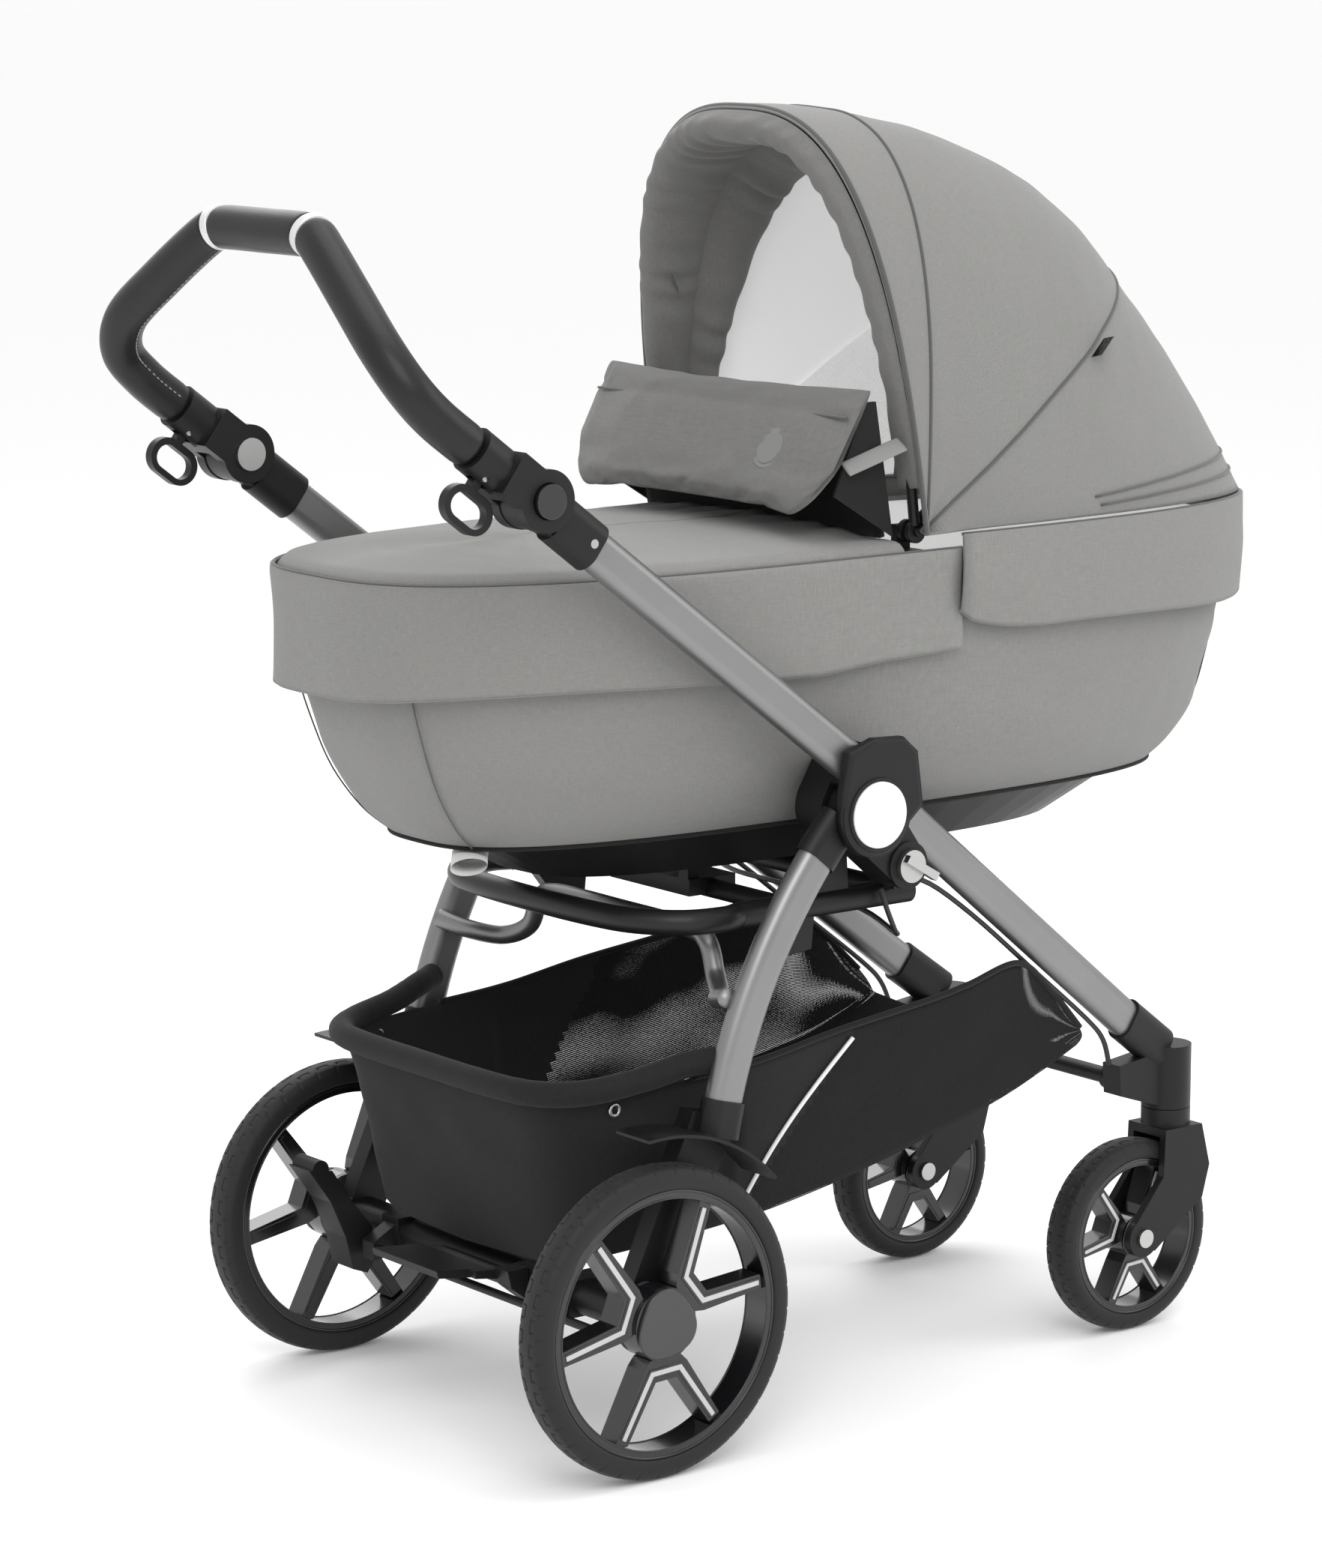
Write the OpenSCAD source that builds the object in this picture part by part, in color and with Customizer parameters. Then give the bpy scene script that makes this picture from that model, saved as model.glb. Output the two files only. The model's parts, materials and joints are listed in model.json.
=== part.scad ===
// Pram-style stroller: folding chassis, height-adjustable handle and lift-off carrycot with hood.
// Millimetres. +X points to the front wheels, +Y to the left, +Z up, and the floor is at Z = 0.
// Every left or right piece is drawn on the left, at +Y, and mirrored for the right.

/* [Chassis] */
// X of the folding hub
hub_x = -45; // [-70:1:-20]
// Height of the folding hub
hub_z = 565; // [540:1:640]
// Distance of the handle tubes and rear legs from the middle plane
side_y = 229; // [226:1:260]
// Width of the oval chassis tubes
tube_w = 37; // [30:0.5:44]
// Thickness of the oval chassis tubes
tube_t = 22; // [18:0.5:26]
// Wall of the chassis tubes
tube_wall = 2; // [1.2:0.1:3]
// Radius of the folding pins
hub_pin_r = 7; // [5:0.5:9]

/* [Rear wheels] */
// Diameter of a rear wheel
rear_wheel_d = 282; // [230:1:340]
// Width of a rear tyre
rear_tyre_w = 34; // [26:1:44]
// X of the rear axle
rear_axle_x = -290; // [-330:1:-270]
// Radius of the rear axle shaft
rear_shaft_r = 6; // [4:0.5:8]

/* [Front wheels] */
// Diameter of a front wheel
front_wheel_d = 188; // [160:1:210]
// Width of a front tyre
front_tyre_w = 34; // [24:1:40]
// X of the caster stems
stem_x = 402; // [380:1:440]
// Distance of the casters from the middle plane
caster_y = 161; // [150:1:185]
// Trail of the casters
trail = 50; // [35:1:60]
// Radius of the front axle bolts
bolt_r = 5; // [3:0.5:6]

/* [Handle] */
// Slope of the handle tubes
handle_slope = 36.87; // [30:0.5:45]
// Distance along the tube from the hub to the height joint
joint_s = 473; // [430:1:520]
// Height of the tube line above the hub
handle_offset = 28; // [24:1:34]
// Outer radius of the grips
grip_r = 19; // [15:0.5:22]
// Radius of the steel tube inside the grips
core_r = 12; // [9:0.5:14]
// How far the handle tilts down at the height joint, degrees
tilt_angle = 34; // [10:1:34]

/* [Carrycot] */
// Foot end of the cot rim
cot_foot_x = -466; // [-470:1:-400]
// Head end of the cot rim
cot_head_x = 554; // [480:1:560]
// Half width of the cot rim
cot_half_w = 192; // [170:1:193]
// Height of the cot rim
cot_rim_z = 782; // [760:1:830]
// Wall of the padded cot shell
cot_wall = 12; // [8:1:20]
// Radius of the hood from its pivot to the top of the front bow
hood_r = 383; // [340:1:390]

/* [Basket] */
// Wall of the basket
basket_wall = 5; // [3:0.5:8]
// Height of the basket's rear rim bar
rim_z = 336; // [320:1:350]

/* [Fits] */
// Radial clearance of a pin in its hole
pin_gap = 0.05; // [0.02:0.01:0.1]
// Gap between a tube and the part that holds it
seat_gap = 0.2; // [0.1:0.05:0.5]
// Gap between parts that move past each other
move_gap = 0.6; // [0.4:0.1:1.5]

/* [Hidden] */
$fn = 64;

rear_r = rear_wheel_d / 2;
front_r = front_wheel_d / 2;
front_axle_x = stem_x - trail;
rear_wheel_y = side_y + 18;
tube_in = side_y - tube_t / 2;
tube_out = side_y + tube_t / 2;
black = [0.1, 0.1, 0.11];
steel_grey = [0.45, 0.46, 0.47];
cloth_grey = [0.5, 0.5, 0.49];

// ---- Shared shapes -------------------------------------------------------------------------

// A copy on one side: 1 is left, -1 is right
module side(s) {
  if (s > 0) children();
  else mirror([0, 1, 0]) children();
}

module both_sides() {
  side(1) children();
  side(-1) children();
}

// An oval with straight flanks, w along X and t along Y
module oval(w, t) {
  square([w - t, t], center = true);
  for (s = [-1, 1]) translate([s * (w - t) / 2, 0]) circle(t / 2);
}

// Children, drawn along +Z, laid from p towards q
module along(p, q) {
  d = q - p;
  translate(p) rotate([0, atan2(norm([d.x, d.y]), d.z), atan2(d.y, d.x)]) children();
}

// An XZ outline with thickness from y0 to y1
module slab_y(y0, y1) {
  translate([0, y1, 0]) rotate([90, 0, 0]) linear_extrude(y1 - y0) children();
}

// A rod or disc along Y
module rod_y(x, z, r, y0, y1) {
  translate([x, y0, z]) rotate([-90, 0, 0]) cylinder(r = r, h = y1 - y0);
}

// An arc in the XZ plane: children are the section, X along the radius and Y along the axis
module arc_xz(cx, y, cz, r, a0, a1) {
  translate([cx, y, cz]) rotate([90, 0, 0]) rotate([0, 0, a0])
    rotate_extrude(angle = a1 - a0) translate([r, 0]) children();
}

// Position along a smooth curve through the points (Catmull-Rom), steps per span
function spline_at(p, i, t) =
  let (n = len(p) - 1, a = p[max(i - 1, 0)], b = p[i], c = p[min(i + 1, n)], d = p[min(i + 2, n)])
  0.5 * (2 * b + (c - a) * t + (2 * a - 5 * b + 4 * c - d) * t * t
  + (3 * b - a - 3 * c + d) * t * t * t);
function spline(p, steps) = concat(
  [for (i = [0:len(p) - 2]) for (k = [0:steps - 1]) spline_at(p, i, k / steps)], [p[len(p) - 1]]);
function unit(v) = v / norm(v);
function tangent(p, i) = unit(p[min(i + 1, len(p) - 1)] - p[max(i - 1, 0)]);
// Section directions carried along the curve without twist
function carry(p, i, n) = i == len(p) ? [] : let (t = tangent(p, i), m = unit(n - (n * t) * t))
  concat([m], carry(p, i + 1, m));

// A round tube swept along points; hint is any direction across the start
module sweep(p, r, sides = 16, hint = [0, 0, 1]) {
  m = carry(p, 0, hint);
  rings = len(p);
  pts = [for (i = [0:rings - 1]) let (t = tangent(p, i), b = cross(t, m[i]))
    for (k = [0:sides - 1]) let (a = 360 * k / sides) p[i] + r * (cos(a) * m[i] + sin(a) * b)];
  walls = [for (i = [0:rings - 2]) for (k = [0:sides - 1]) let (n = (k + 1) % sides)
    [i * sides + k, (i + 1) * sides + k, (i + 1) * sides + n, i * sides + n]];
  first = [for (k = [0:sides - 1]) k];
  last = [for (k = [sides - 1:-1:0]) (rings - 1) * sides + k];
  polyhedron(pts, concat(walls, [first, last]), convexity = 6);
}

function mirror_y(p) = [for (q = p) [q.x, -q.y, q.z]];
function reversed(p) = [for (i = [len(p) - 1:-1:0]) p[i]];

// ---- Front legs, hub castings and supports (the fixed chassis) --------------------------------

leg_top = [hub_x + 25, side_y - 33, hub_z + 24];
leg_end = [stem_x - 61, caster_y + 5, 308];
sleeve_wall = 3;

// The front leg's outline, solid, between fractions of its length
module front_leg_form(w, t, extra = 0) {
  d = unit(leg_end - leg_top);
  along(leg_top - extra * d, leg_end) linear_extrude(norm(leg_end - leg_top) + 2 * extra) oval(w, t);
}

module front_leg() color(steel_grey) difference() {
  front_leg_form(tube_w, tube_t);
  front_leg_form(tube_w - 2 * tube_wall, tube_t - 2 * tube_wall, 1);
}

casting_in = side_y - 51;
casting_out = tube_in - 3.5;
dial_x = hub_x + 68;
dial_z = hub_z - 60;
dial_y = side_y - 12;

module pivot_casting(with_dial) color(black) difference() {
  union() {
    rod_y(hub_x, hub_z, 34, casting_in, casting_out);
    slab_y(casting_in, casting_out) polygon([[hub_x - 30, hub_z + 16], [hub_x - 12, hub_z + 46],
      [hub_x + 34, hub_z + 44], [hub_x + 66, hub_z + 4], [hub_x + 70, hub_z - 40], [hub_x, hub_z - 34]]);
    if (with_dial) {
      slab_y(casting_in, casting_out) polygon([[hub_x, hub_z - 30], [hub_x + 66, hub_z - 20],
        [dial_x + 18, dial_z + 12], [dial_x - 18, dial_z - 12]]);
      rod_y(dial_x, dial_z, 22, casting_in, dial_y);
    }
  }
  front_leg_form(tube_w + 2 * seat_gap, tube_t + 2 * seat_gap, 1);
  rod_y(hub_x, hub_z, hub_pin_r + pin_gap, casting_in - 1, casting_out + 1);
  if (with_dial) rod_y(dial_x, dial_z, 5 + pin_gap, dial_y - 20, dial_y + 1);
}

housing_face = side_y + 24;

module pivot_pins() color("silver") both_sides()
  rod_y(hub_x, hub_z, hub_pin_r, casting_in, housing_face - 1.5);

rail_y = casting_in - 6;
rail_z = hub_z - 93;
rail_r = 12;
rail_back_x = hub_x - 95;
rail_front_x = hub_x + 105;

module support_frame() color(black) difference() {
  union() {
    both_sides() {
      translate([rail_back_x, rail_y, rail_z]) rotate([0, 90, 0])
        cylinder(r = rail_r, h = rail_front_x - rail_back_x);
      slab_y(casting_in - 10, casting_in - seat_gap) polygon([[hub_x - 20, rail_z], [hub_x + 30, rail_z],
        [hub_x + 24, hub_z - 4], [hub_x - 20, hub_z - 4]]);
      slab_y(rail_y - 8, rail_y + 6) polygon([[rail_back_x + 12, rail_z], [hub_x - 10, rail_z],
        [hub_x - 14, rail_z - 40], [hub_x - 48, rail_z - 44]]);
    }
    for (x = [hub_x - 35, hub_x + 95]) rod_y(x, rail_z, 9, -rail_y, rail_y);
    translate([hub_x - 62, -60, rail_z - 5]) cube([54, 120, 16]);
    for (y = [-58, 44]) translate([hub_x - 62, y, rail_z + 8]) cube([12, 14, 20]);
  }
  both_sides() translate([rail_back_x - 1, rail_y, rail_z]) rotate([0, 90, 0])
    cylinder(r = bar_core_r + pin_gap, h = 26);
}

bar_core_r = 7;
bar_pad_r = 11.5;
bar_half = [[rail_back_x - 6.5, rail_y, rail_z], [-160, rail_y + 5, rail_z], [-196, rail_y - 4, rail_z],
  [-226, rail_y - 38, rail_z], [-237, rail_y - 90, rail_z], [-240, 0, rail_z]];
bar_path = spline(concat(bar_half, [for (i = [len(bar_half) - 2:-1:0])
  [bar_half[i].x, -bar_half[i].y, bar_half[i].z]]), 5);

module support_bar() color(black) {
  sweep(bar_path, bar_pad_r, 16);
  both_sides() translate([rail_back_x - 10, rail_y, rail_z]) rotate([0, 90, 0])
    cylinder(r = bar_core_r, h = 32);
}

crossbar_z = 247;
crossbar_x = stem_x - 57;
housing_r = 24;
housing_low = 214.5;
housing_top = 276;
stem_r = 8;

module front_crossbar() color(black)
  rod_y(crossbar_x, crossbar_z, 8, -(caster_y - 22), caster_y - 22);

module caster_housing() color(black) difference() {
  union() {
    translate([stem_x, caster_y, housing_low]) cylinder(r = housing_r, h = housing_top - housing_low);
    along(leg_end - 2 * unit(leg_end - leg_top), [stem_x + 2, caster_y, 262])
      linear_extrude(62) oval(tube_w + 2 * sleeve_wall, tube_t + 2 * sleeve_wall);
    slab_y(caster_y - 12, caster_y + 12) polygon([[crossbar_x - 16, crossbar_z + 18],
      [crossbar_x - 14, crossbar_z - 12], [stem_x - 10, housing_low], [stem_x, housing_top - 2]]);
    rod_y(crossbar_x, crossbar_z, 12, caster_y - 22 + seat_gap, caster_y);
  }
  front_leg_form(tube_w + 2 * seat_gap, tube_t + 2 * seat_gap, seat_gap);
  translate([stem_x, caster_y, housing_low - 1]) cylinder(r = stem_r + pin_gap, h = 49);
}

cable_r = 2.5;
cable_right = spline([[29, -187, 480], [64, -187, 482], [130, -181, 441], [220, -174, 371],
  [290, -168, 316], [314, -165, 292], [325, -162, 266]], 5);
cable_left = spline([[14, -188, 480], [18, -192, 462], [34, -184, 440], [60, -155, 428],
  [74, -90, 438], [66, 0, 446], [70, 90, 446], [92, 150, 446], [130, 178, 440], [220, 174, 371],
  [290, 168, 316], [314, 165, 292], [325, 162, 266]], 5);

module swivel_cables() color(black) {
  sweep(cable_right, cable_r, 8, [0, 1, 0]);
  sweep(cable_left, cable_r, 8, [0, 1, 0]);
}

// ---- Handle frame: turns forward over the top -------------------------------------------------

// Children in handle coordinates: Z along the tube from the hub, X square to it, Y as the chassis
module on_handle() translate([hub_x, 0, hub_z]) rotate([0, handle_slope - 90, 0])
  translate([handle_offset, 0, 0]) children();

collar_r = 28;
sleeve_s = joint_s - 77;
tube_end_s = sleeve_s + 22;
hub_start_s = 18;
hub_mouth_s = 38;

module handle_tube_form(w, t, from, to) on_handle() translate([0, side_y, from])
  linear_extrude(to - from) oval(w, t);

module handle_tubes() color(steel_grey) both_sides() difference() {
  handle_tube_form(tube_w, tube_t, hub_start_s, tube_end_s);
  handle_tube_form(tube_w - 2 * tube_wall, tube_t - 2 * tube_wall, hub_start_s - 1, tube_end_s + 1);
  rod_y(hub_x, hub_z, collar_r + 3, tube_in - 1, tube_out + 1);
}

ring_r = 39;
housing_inner = tube_in - 2.5;
plate_y = tube_out + 2;

module housing_outline() {
  circle(ring_r);
  polygon([[-31, 23], [1, 66], [30, 66], [46, 53], [53, 3], [38, -10], [0, -10], [-30, 0]]);
}

module hub_housing() color(black) difference() {
  union() {
    slab_y(plate_y, housing_face) translate([hub_x, hub_z]) housing_outline();
    on_handle() translate([-tube_w / 2 - 3, housing_inner, hub_start_s])
      cube([tube_w + 6, plate_y + 1 - housing_inner, hub_mouth_s - hub_start_s]);
  }
  handle_tube_form(tube_w + 2 * seat_gap, tube_t + 2 * seat_gap, hub_start_s - 9, hub_mouth_s + 1);
  rod_y(hub_x, hub_z, collar_r + 3, housing_inner - 1, plate_y);
  rod_y(hub_x, hub_z, hub_pin_r + pin_gap, plate_y - 1, housing_face + 1);
  rod_y(hub_x, hub_z, 30 + seat_gap, housing_face - 2, housing_face + 1);
}

module hub_discs() color("white") both_sides()
  rod_y(hub_x, hub_z, 30, housing_face - 1, housing_face + 5);

cheek_r = 27;
cheek_in = side_y - 24;
cheek_out = side_y + 24;
tongue_half = tube_t / 2 - 0.4;

module joint_lower() color(black) difference() {
  on_handle() {
    translate([0, side_y, sleeve_s]) linear_extrude(48) oval(tube_w + 8, tube_t + 8);
    translate([-18, side_y - tongue_half, sleeve_s + 40])
      cube([36, 2 * tongue_half, joint_s - sleeve_s - 40]);
    translate([0, side_y - tongue_half, joint_s]) rotate([-90, 0, 0])
      cylinder(r = cheek_r - 1, h = 2 * tongue_half);
  }
  handle_tube_form(tube_w + 2 * seat_gap, tube_t + 2 * seat_gap, sleeve_s - 1, tube_end_s + seat_gap);
  on_handle() translate([0, side_y - tube_t, joint_s]) rotate([-90, 0, 0])
    cylinder(r = joint_pin_r + pin_gap, h = 2 * tube_t);
  on_handle() translate([0, side_y + tube_t / 2, sleeve_s + 9]) rotate([-90, 0, 0])
    cylinder(r = 4 + seat_gap, h = tube_t);
}

joint_pin_r = 5;

module sleeve_screws() color("silver") both_sides()
  on_handle() translate([0, tube_out + seat_gap, sleeve_s + 9]) rotate([-90, 0, 0]) cylinder(r = 4, h = 4);

// ---- Handle bar: tilts at the height joints ------------------------------------------------------

upper_end_s = joint_s + 79;
lever_s = joint_s + 58;
lever_n = -16.5;
lever_pin_r = 2.5;
button_r = 15;

// A box in handle coordinates, centred on the tube line in X
module joint_box(w, y0, y1, s0, s1) translate([-w / 2, y0, s0]) cube([w, y1 - y0, s1 - s0]);

module joint_upper() color(black) difference() {
  on_handle() {
    for (y = [[cheek_in, tube_in], [tube_out, cheek_out]]) {
      translate([0, y[0], joint_s]) rotate([-90, 0, 0]) cylinder(r = cheek_r, h = y[1] - y[0]);
      joint_box(40, y[0], y[1], joint_s, joint_s + 36);
    }
    joint_box(40, cheek_in, cheek_out, joint_s + 29, joint_s + 44);
    translate([0, side_y, joint_s + 40]) linear_extrude(upper_end_s - joint_s - 40 - tilt_room)
      oval(42, 41);
  }
  core_space(0, 8, [0, 1, 0]);
  on_handle() {
    translate([0, side_y, joint_s]) rotate([-90, 0, 0])
      cylinder(r = button_r + move_gap, h = cheek_out - side_y + 1);
    translate([0, cheek_in - 1, joint_s]) rotate([-90, 0, 0])
      cylinder(r = joint_pin_r + pin_gap, h = 30);
    translate([lever_n - 14, side_y - 5 - move_gap, lever_s - 10])
      cube([18 + move_gap / 2, 10 + 2 * move_gap, 20]);
    translate([lever_n, side_y - 30, lever_s]) rotate([-90, 0, 0])
      cylinder(r = lever_pin_r + pin_gap, h = 60);
  }
}

module joint_pins() color("silver") both_sides() on_handle() {
  translate([0, cheek_in - 3, joint_s]) rotate([-90, 0, 0]) cylinder(r = joint_pin_r, h = 33);
  translate([0, cheek_in - 4, joint_s]) rotate([-90, 0, 0]) cylinder(r = 15, h = 4 - seat_gap);
  translate([lever_n, side_y - 12, lever_s]) rotate([-90, 0, 0]) cylinder(r = lever_pin_r, h = 24);
}

module joint_button() color("dimgray") on_handle()
  translate([0, cheek_out - 5, joint_s]) rotate([-90, 0, 0]) cylinder(r = button_r, h = 10);

module fold_lever() color(black) on_handle() difference() {
  slab_lever();
  translate([lever_n, side_y - 10, lever_s]) rotate([-90, 0, 0])
    cylinder(r = lever_pin_r + pin_gap, h = 20);
}

// The D-shaped finger loop below the joint and its tang
module slab_lever() translate([0, side_y - 5, 0]) rotate([-90, 0, 0]) linear_extrude(10) {
  difference() {
    translate([lever_n - 27.5, -(lever_s - 6)]) rotate(90) oval(52, 34);
    translate([lever_n - 28, -(lever_s - 6)]) rotate(90) oval(40, 22);
  }
  translate([lever_n, -lever_s]) circle(4);
  translate([lever_n - 14, -lever_s - 4]) square([14, 8]);
}

// Grip line on the left side, from the height joint up to the middle
handle_dir = [-cos(handle_slope), 0, sin(handle_slope)];
handle_up = [sin(handle_slope), 0, cos(handle_slope)];
function on_line(s, y) = [hub_x, 0, hub_z] + s * handle_dir + handle_offset * handle_up + [0, y, 0];
grip_start = on_line(upper_end_s, side_y - 1);
grip_half = [on_line(upper_end_s - 30, side_y), grip_start, grip_start + [-34, -1, 26],
  grip_start + [-58, -5, 52], grip_start + [-68, -30, 84], grip_start + [-62, -80, 121],
  grip_start + [-54, -130, 155], grip_start + [-50, -152, 167], grip_start + [-49, -172, 169],
  grip_start + [-49, -side_y + 1, 169]];
core_half = spline(grip_half, 5);
core_path = concat(core_half, reversed([for (i = [0:len(core_half) - 2])
  [core_half[i].x, -core_half[i].y, core_half[i].z]]));
grip_last = 35;
ring_len = 9;
tilt_room = 2.5;

core_sides = 12;
grip_sides = 16;

module handle_core() color(steel_grey) sweep(core_path, core_r, core_sides, [0, 1, 0]);

// The space the core needs between two of its points
module core_space(from, to, hint) sweep([for (i = [from:to]) core_path[i]],
  (core_r + seat_gap) / cos(180 / core_sides), core_sides, hint);

module handle_grips() color(black) both_sides() difference() {
  sweep([for (i = [5:grip_last]) core_half[i]], grip_r, grip_sides, [0, 1, 0]);
  core_space(4, grip_last + 1, [0, 1, 0]);
}

ring_a = core_half[grip_last];
ring_dir = tangent(core_half, grip_last);

module grip_rings() color([0.8, 0.8, 0.8]) both_sides() difference() {
  along(ring_a + ring_dir, ring_a + 2 * ring_dir) cylinder(r = grip_r + 0.5, h = ring_len - 2);
  along(ring_a - ring_dir, ring_a) cylinder(r = core_r + 6 * seat_gap, h = ring_len + 2);
}

centre_from = grip_last + 2;
trim_r = grip_r + 10;
trim_back = 14;

module centre_grip() color(black) difference() {
  sweep([for (i = [centre_from:len(core_path) - 1 - centre_from]) core_path[i]], grip_r, grip_sides, [1, 0, 0]);
  core_space(grip_last + 1, len(core_path) - 2 - grip_last, [1, 0, 0]);
  both_sides() along(ring_a - trim_back * ring_dir, ring_a)
    cylinder(r = trim_r, h = trim_back + ring_len + 2 * seat_gap);
}

// ---- Rear frame: legs, foot castings, axle, cross bar and rim bar --------------------------------

leg_bend_r = 538;
leg_cx = hub_x + 365;
leg_cz = hub_z - 377.5;
leg_a0 = 138.6;
leg_a1 = 167;

module rear_leg_form(w, t, a0, a1) arc_xz(leg_cx, side_y, leg_cz, leg_bend_r, a0, a1) oval(w, t);

module rear_legs() color(steel_grey) both_sides() difference() {
  rear_leg_form(tube_w, tube_t, leg_a0, leg_a1);
  rear_leg_form(tube_w - 2 * tube_wall, tube_t - 2 * tube_wall, leg_a0 - 1, leg_a1 + 1);
}

module leg_castings() color(black) both_sides() {
  leg_collar();
  foot_casting();
}

module leg_collar() difference() {
  union() {
    rod_y(hub_x, hub_z, collar_r, tube_in - 1.5, tube_out + 1.5);
    rear_leg_form(tube_w + 6, tube_t + 3, leg_a0 - 2.2, leg_a0 + 2.4);
  }
  rear_leg_form(tube_w + 2 * seat_gap, tube_t + 2 * seat_gap, leg_a0 - 0.02, leg_a0 + 4);
  rod_y(hub_x, hub_z, hub_pin_r + pin_gap, tube_in - 3, tube_out + 3);
}

leg_foot = [leg_cx + leg_bend_r * cos(leg_a1), side_y - 14, leg_cz + leg_bend_r * sin(leg_a1)];
strut_y = side_y - 14;
strut_half = 10;
wing_r = rear_r + 26;

module foot_casting() difference() {
  union() {
    rear_leg_form(tube_w + 6, tube_t + 4, leg_a1 - 1.6, leg_a1 + 2);
    slab_y(strut_y - strut_half, strut_y + strut_half) {
      polygon([[leg_foot.x - 26, leg_foot.z + 8], [leg_foot.x + 26, leg_foot.z - 4],
        [rear_axle_x + 22, rear_r + 4], [rear_axle_x - 16, rear_r + 12]]);
      translate([rear_axle_x, rear_r]) circle(22);
    }
    arc_xz(rear_axle_x, side_y + 8, rear_r, wing_r, 42, 96) square([3, 48], center = true);
  }
  rear_leg_form(tube_w + 2 * seat_gap, tube_t + 2 * seat_gap, leg_a1 - 3, leg_a1 + 0.03);
  rod_y(rear_axle_x, rear_r, rear_shaft_r + pin_gap, strut_y - 20, strut_y + 20);
}

cross_half = [[-190, tube_in + 3, 412], [-176, 190, 404], [-154, 165, 400], [-141, 142, 412],
  [-139, 128, 440], [-139, 100, 449], [-139, 0, 450]];
cross_path = spline(concat(cross_half, [for (i = [len(cross_half) - 2:-1:0])
  [cross_half[i].x, -cross_half[i].y, cross_half[i].z]]), 4);

module rear_cross_bar() color(steel_grey) difference() {
  sweep(cross_path, 9, 14);
  both_sides() rear_leg_form(tube_w + 2 * seat_gap, tube_t + 2 * seat_gap, leg_a0, leg_a1);
}

beam_end = strut_y - strut_half - seat_gap;
rod_x = rear_axle_x - 38;
rod_z = rear_r - 11;
rod_r = 4;

module rear_axle_beam() color(black) {
  difference() {
    union() {
      translate([rear_axle_x, beam_end, rear_r]) rotate([90, 0, 0])
        linear_extrude(2 * beam_end) oval(40, 30);
      for (y = [-150, -95, 118]) translate([rear_axle_x - 22, y, rear_r - 17]) cube([46, 26, 34]);
      for (y = [-150, 118]) slab_y(y + 4, y + 22) polygon([[rod_x - 9, rod_z + 8],
        [rod_x - 9, rod_z - 9], [rear_axle_x - 10, rear_r - 17], [rear_axle_x - 10, rear_r + 17]]);
    }
    rod_y(rod_x, rod_z, rod_r + pin_gap, -rear_wheel_y, rear_wheel_y);
  }
  rod_y(rear_axle_x, rear_r, rear_shaft_r, -shaft_end, shaft_end);
}

shaft_end = rear_wheel_y + rear_tyre_w / 2 - 6;

rim_half = [[-200, tube_in - 0.5, 358], [-226, 206, 354], [-262, 196, rim_z + 9],
  [-312, 184, rim_z + 2], [-346, 158, rim_z], [-360, 110, rim_z], [-362, 0, rim_z]];
rim_path = spline(concat(rim_half, [for (i = [len(rim_half) - 2:-1:0])
  [rim_half[i].x, -rim_half[i].y, rim_half[i].z]]), 4);

module basket_rim_bar() color(black) {
  difference() {
    union() {
      sweep(rim_path, 6, 12);
      both_sides() along([-200, tube_in - 0.4, 358], [-240, 202, 352]) cylinder(r = 11, h = 36);
    }
    both_sides() rear_leg_form(tube_w + 2 * seat_gap, tube_t + 2 * seat_gap, leg_a0, leg_a1);
  }
}

module foot_step() color(black) {
  slab_y(-62, 40) polygon([[rod_x - 66, rod_z + 32], [rod_x - 10, rod_z + 26],
    [rear_axle_x - 23, rod_z + 20], [rear_axle_x - 23, rod_z + 10], [rod_x - 12, rod_z + 18],
    [rod_x - 64, rod_z + 25]]);
  slab_y(-90, -70) polygon([[rod_x - 8, rod_z + 28], [rear_axle_x - 23, rod_z + 28],
    [rear_axle_x - 23, rear_r - 14], [rod_x - 4, rod_z + 12]]);
  slab_y(-71, -61) polygon([[rod_x - 30, rod_z + 28], [rear_axle_x - 23, rod_z + 24],
    [rear_axle_x - 23, rod_z + 14], [rod_x - 30, rod_z + 21]]);
}

brake_y = side_y - 69;

module brake_pedal() color(black) {
  rod_y(rod_x, rod_z, rod_r, -(strut_y - strut_half - 4), strut_y - strut_half - 4);
  slab_y(brake_y - 12, brake_y + 22) {
    polygon([[rod_x - 62, rod_z + 80], [rod_x - 36, rod_z + 76], [rod_x - 12, rod_z + 40],
      [rod_x + 8, rod_z + 16], [rod_x + 12, rod_z - 14], [rod_x + 2, rod_z - 28],
      [rod_x - 14, rod_z - 22], [rod_x - 22, rod_z + 10], [rod_x - 38, rod_z + 46]]);
    translate([rod_x - 49, rod_z + 79]) circle(9);
  }
}

// ---- Wheels ---------------------------------------------------------------------------------------

// A round tread: crowned ring whose outermost line is at radius outer
module crowned_tyre(seat, outer, w) rotate([90, 0, 0]) rotate_extrude() intersection() {
  translate([seat, -w / 2]) square([outer - seat, w]);
  union() {
    translate([seat, -w / 2]) square([outer - seat - 7, w]);
    translate([outer - w, 0]) circle(w);
  }
}

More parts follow.
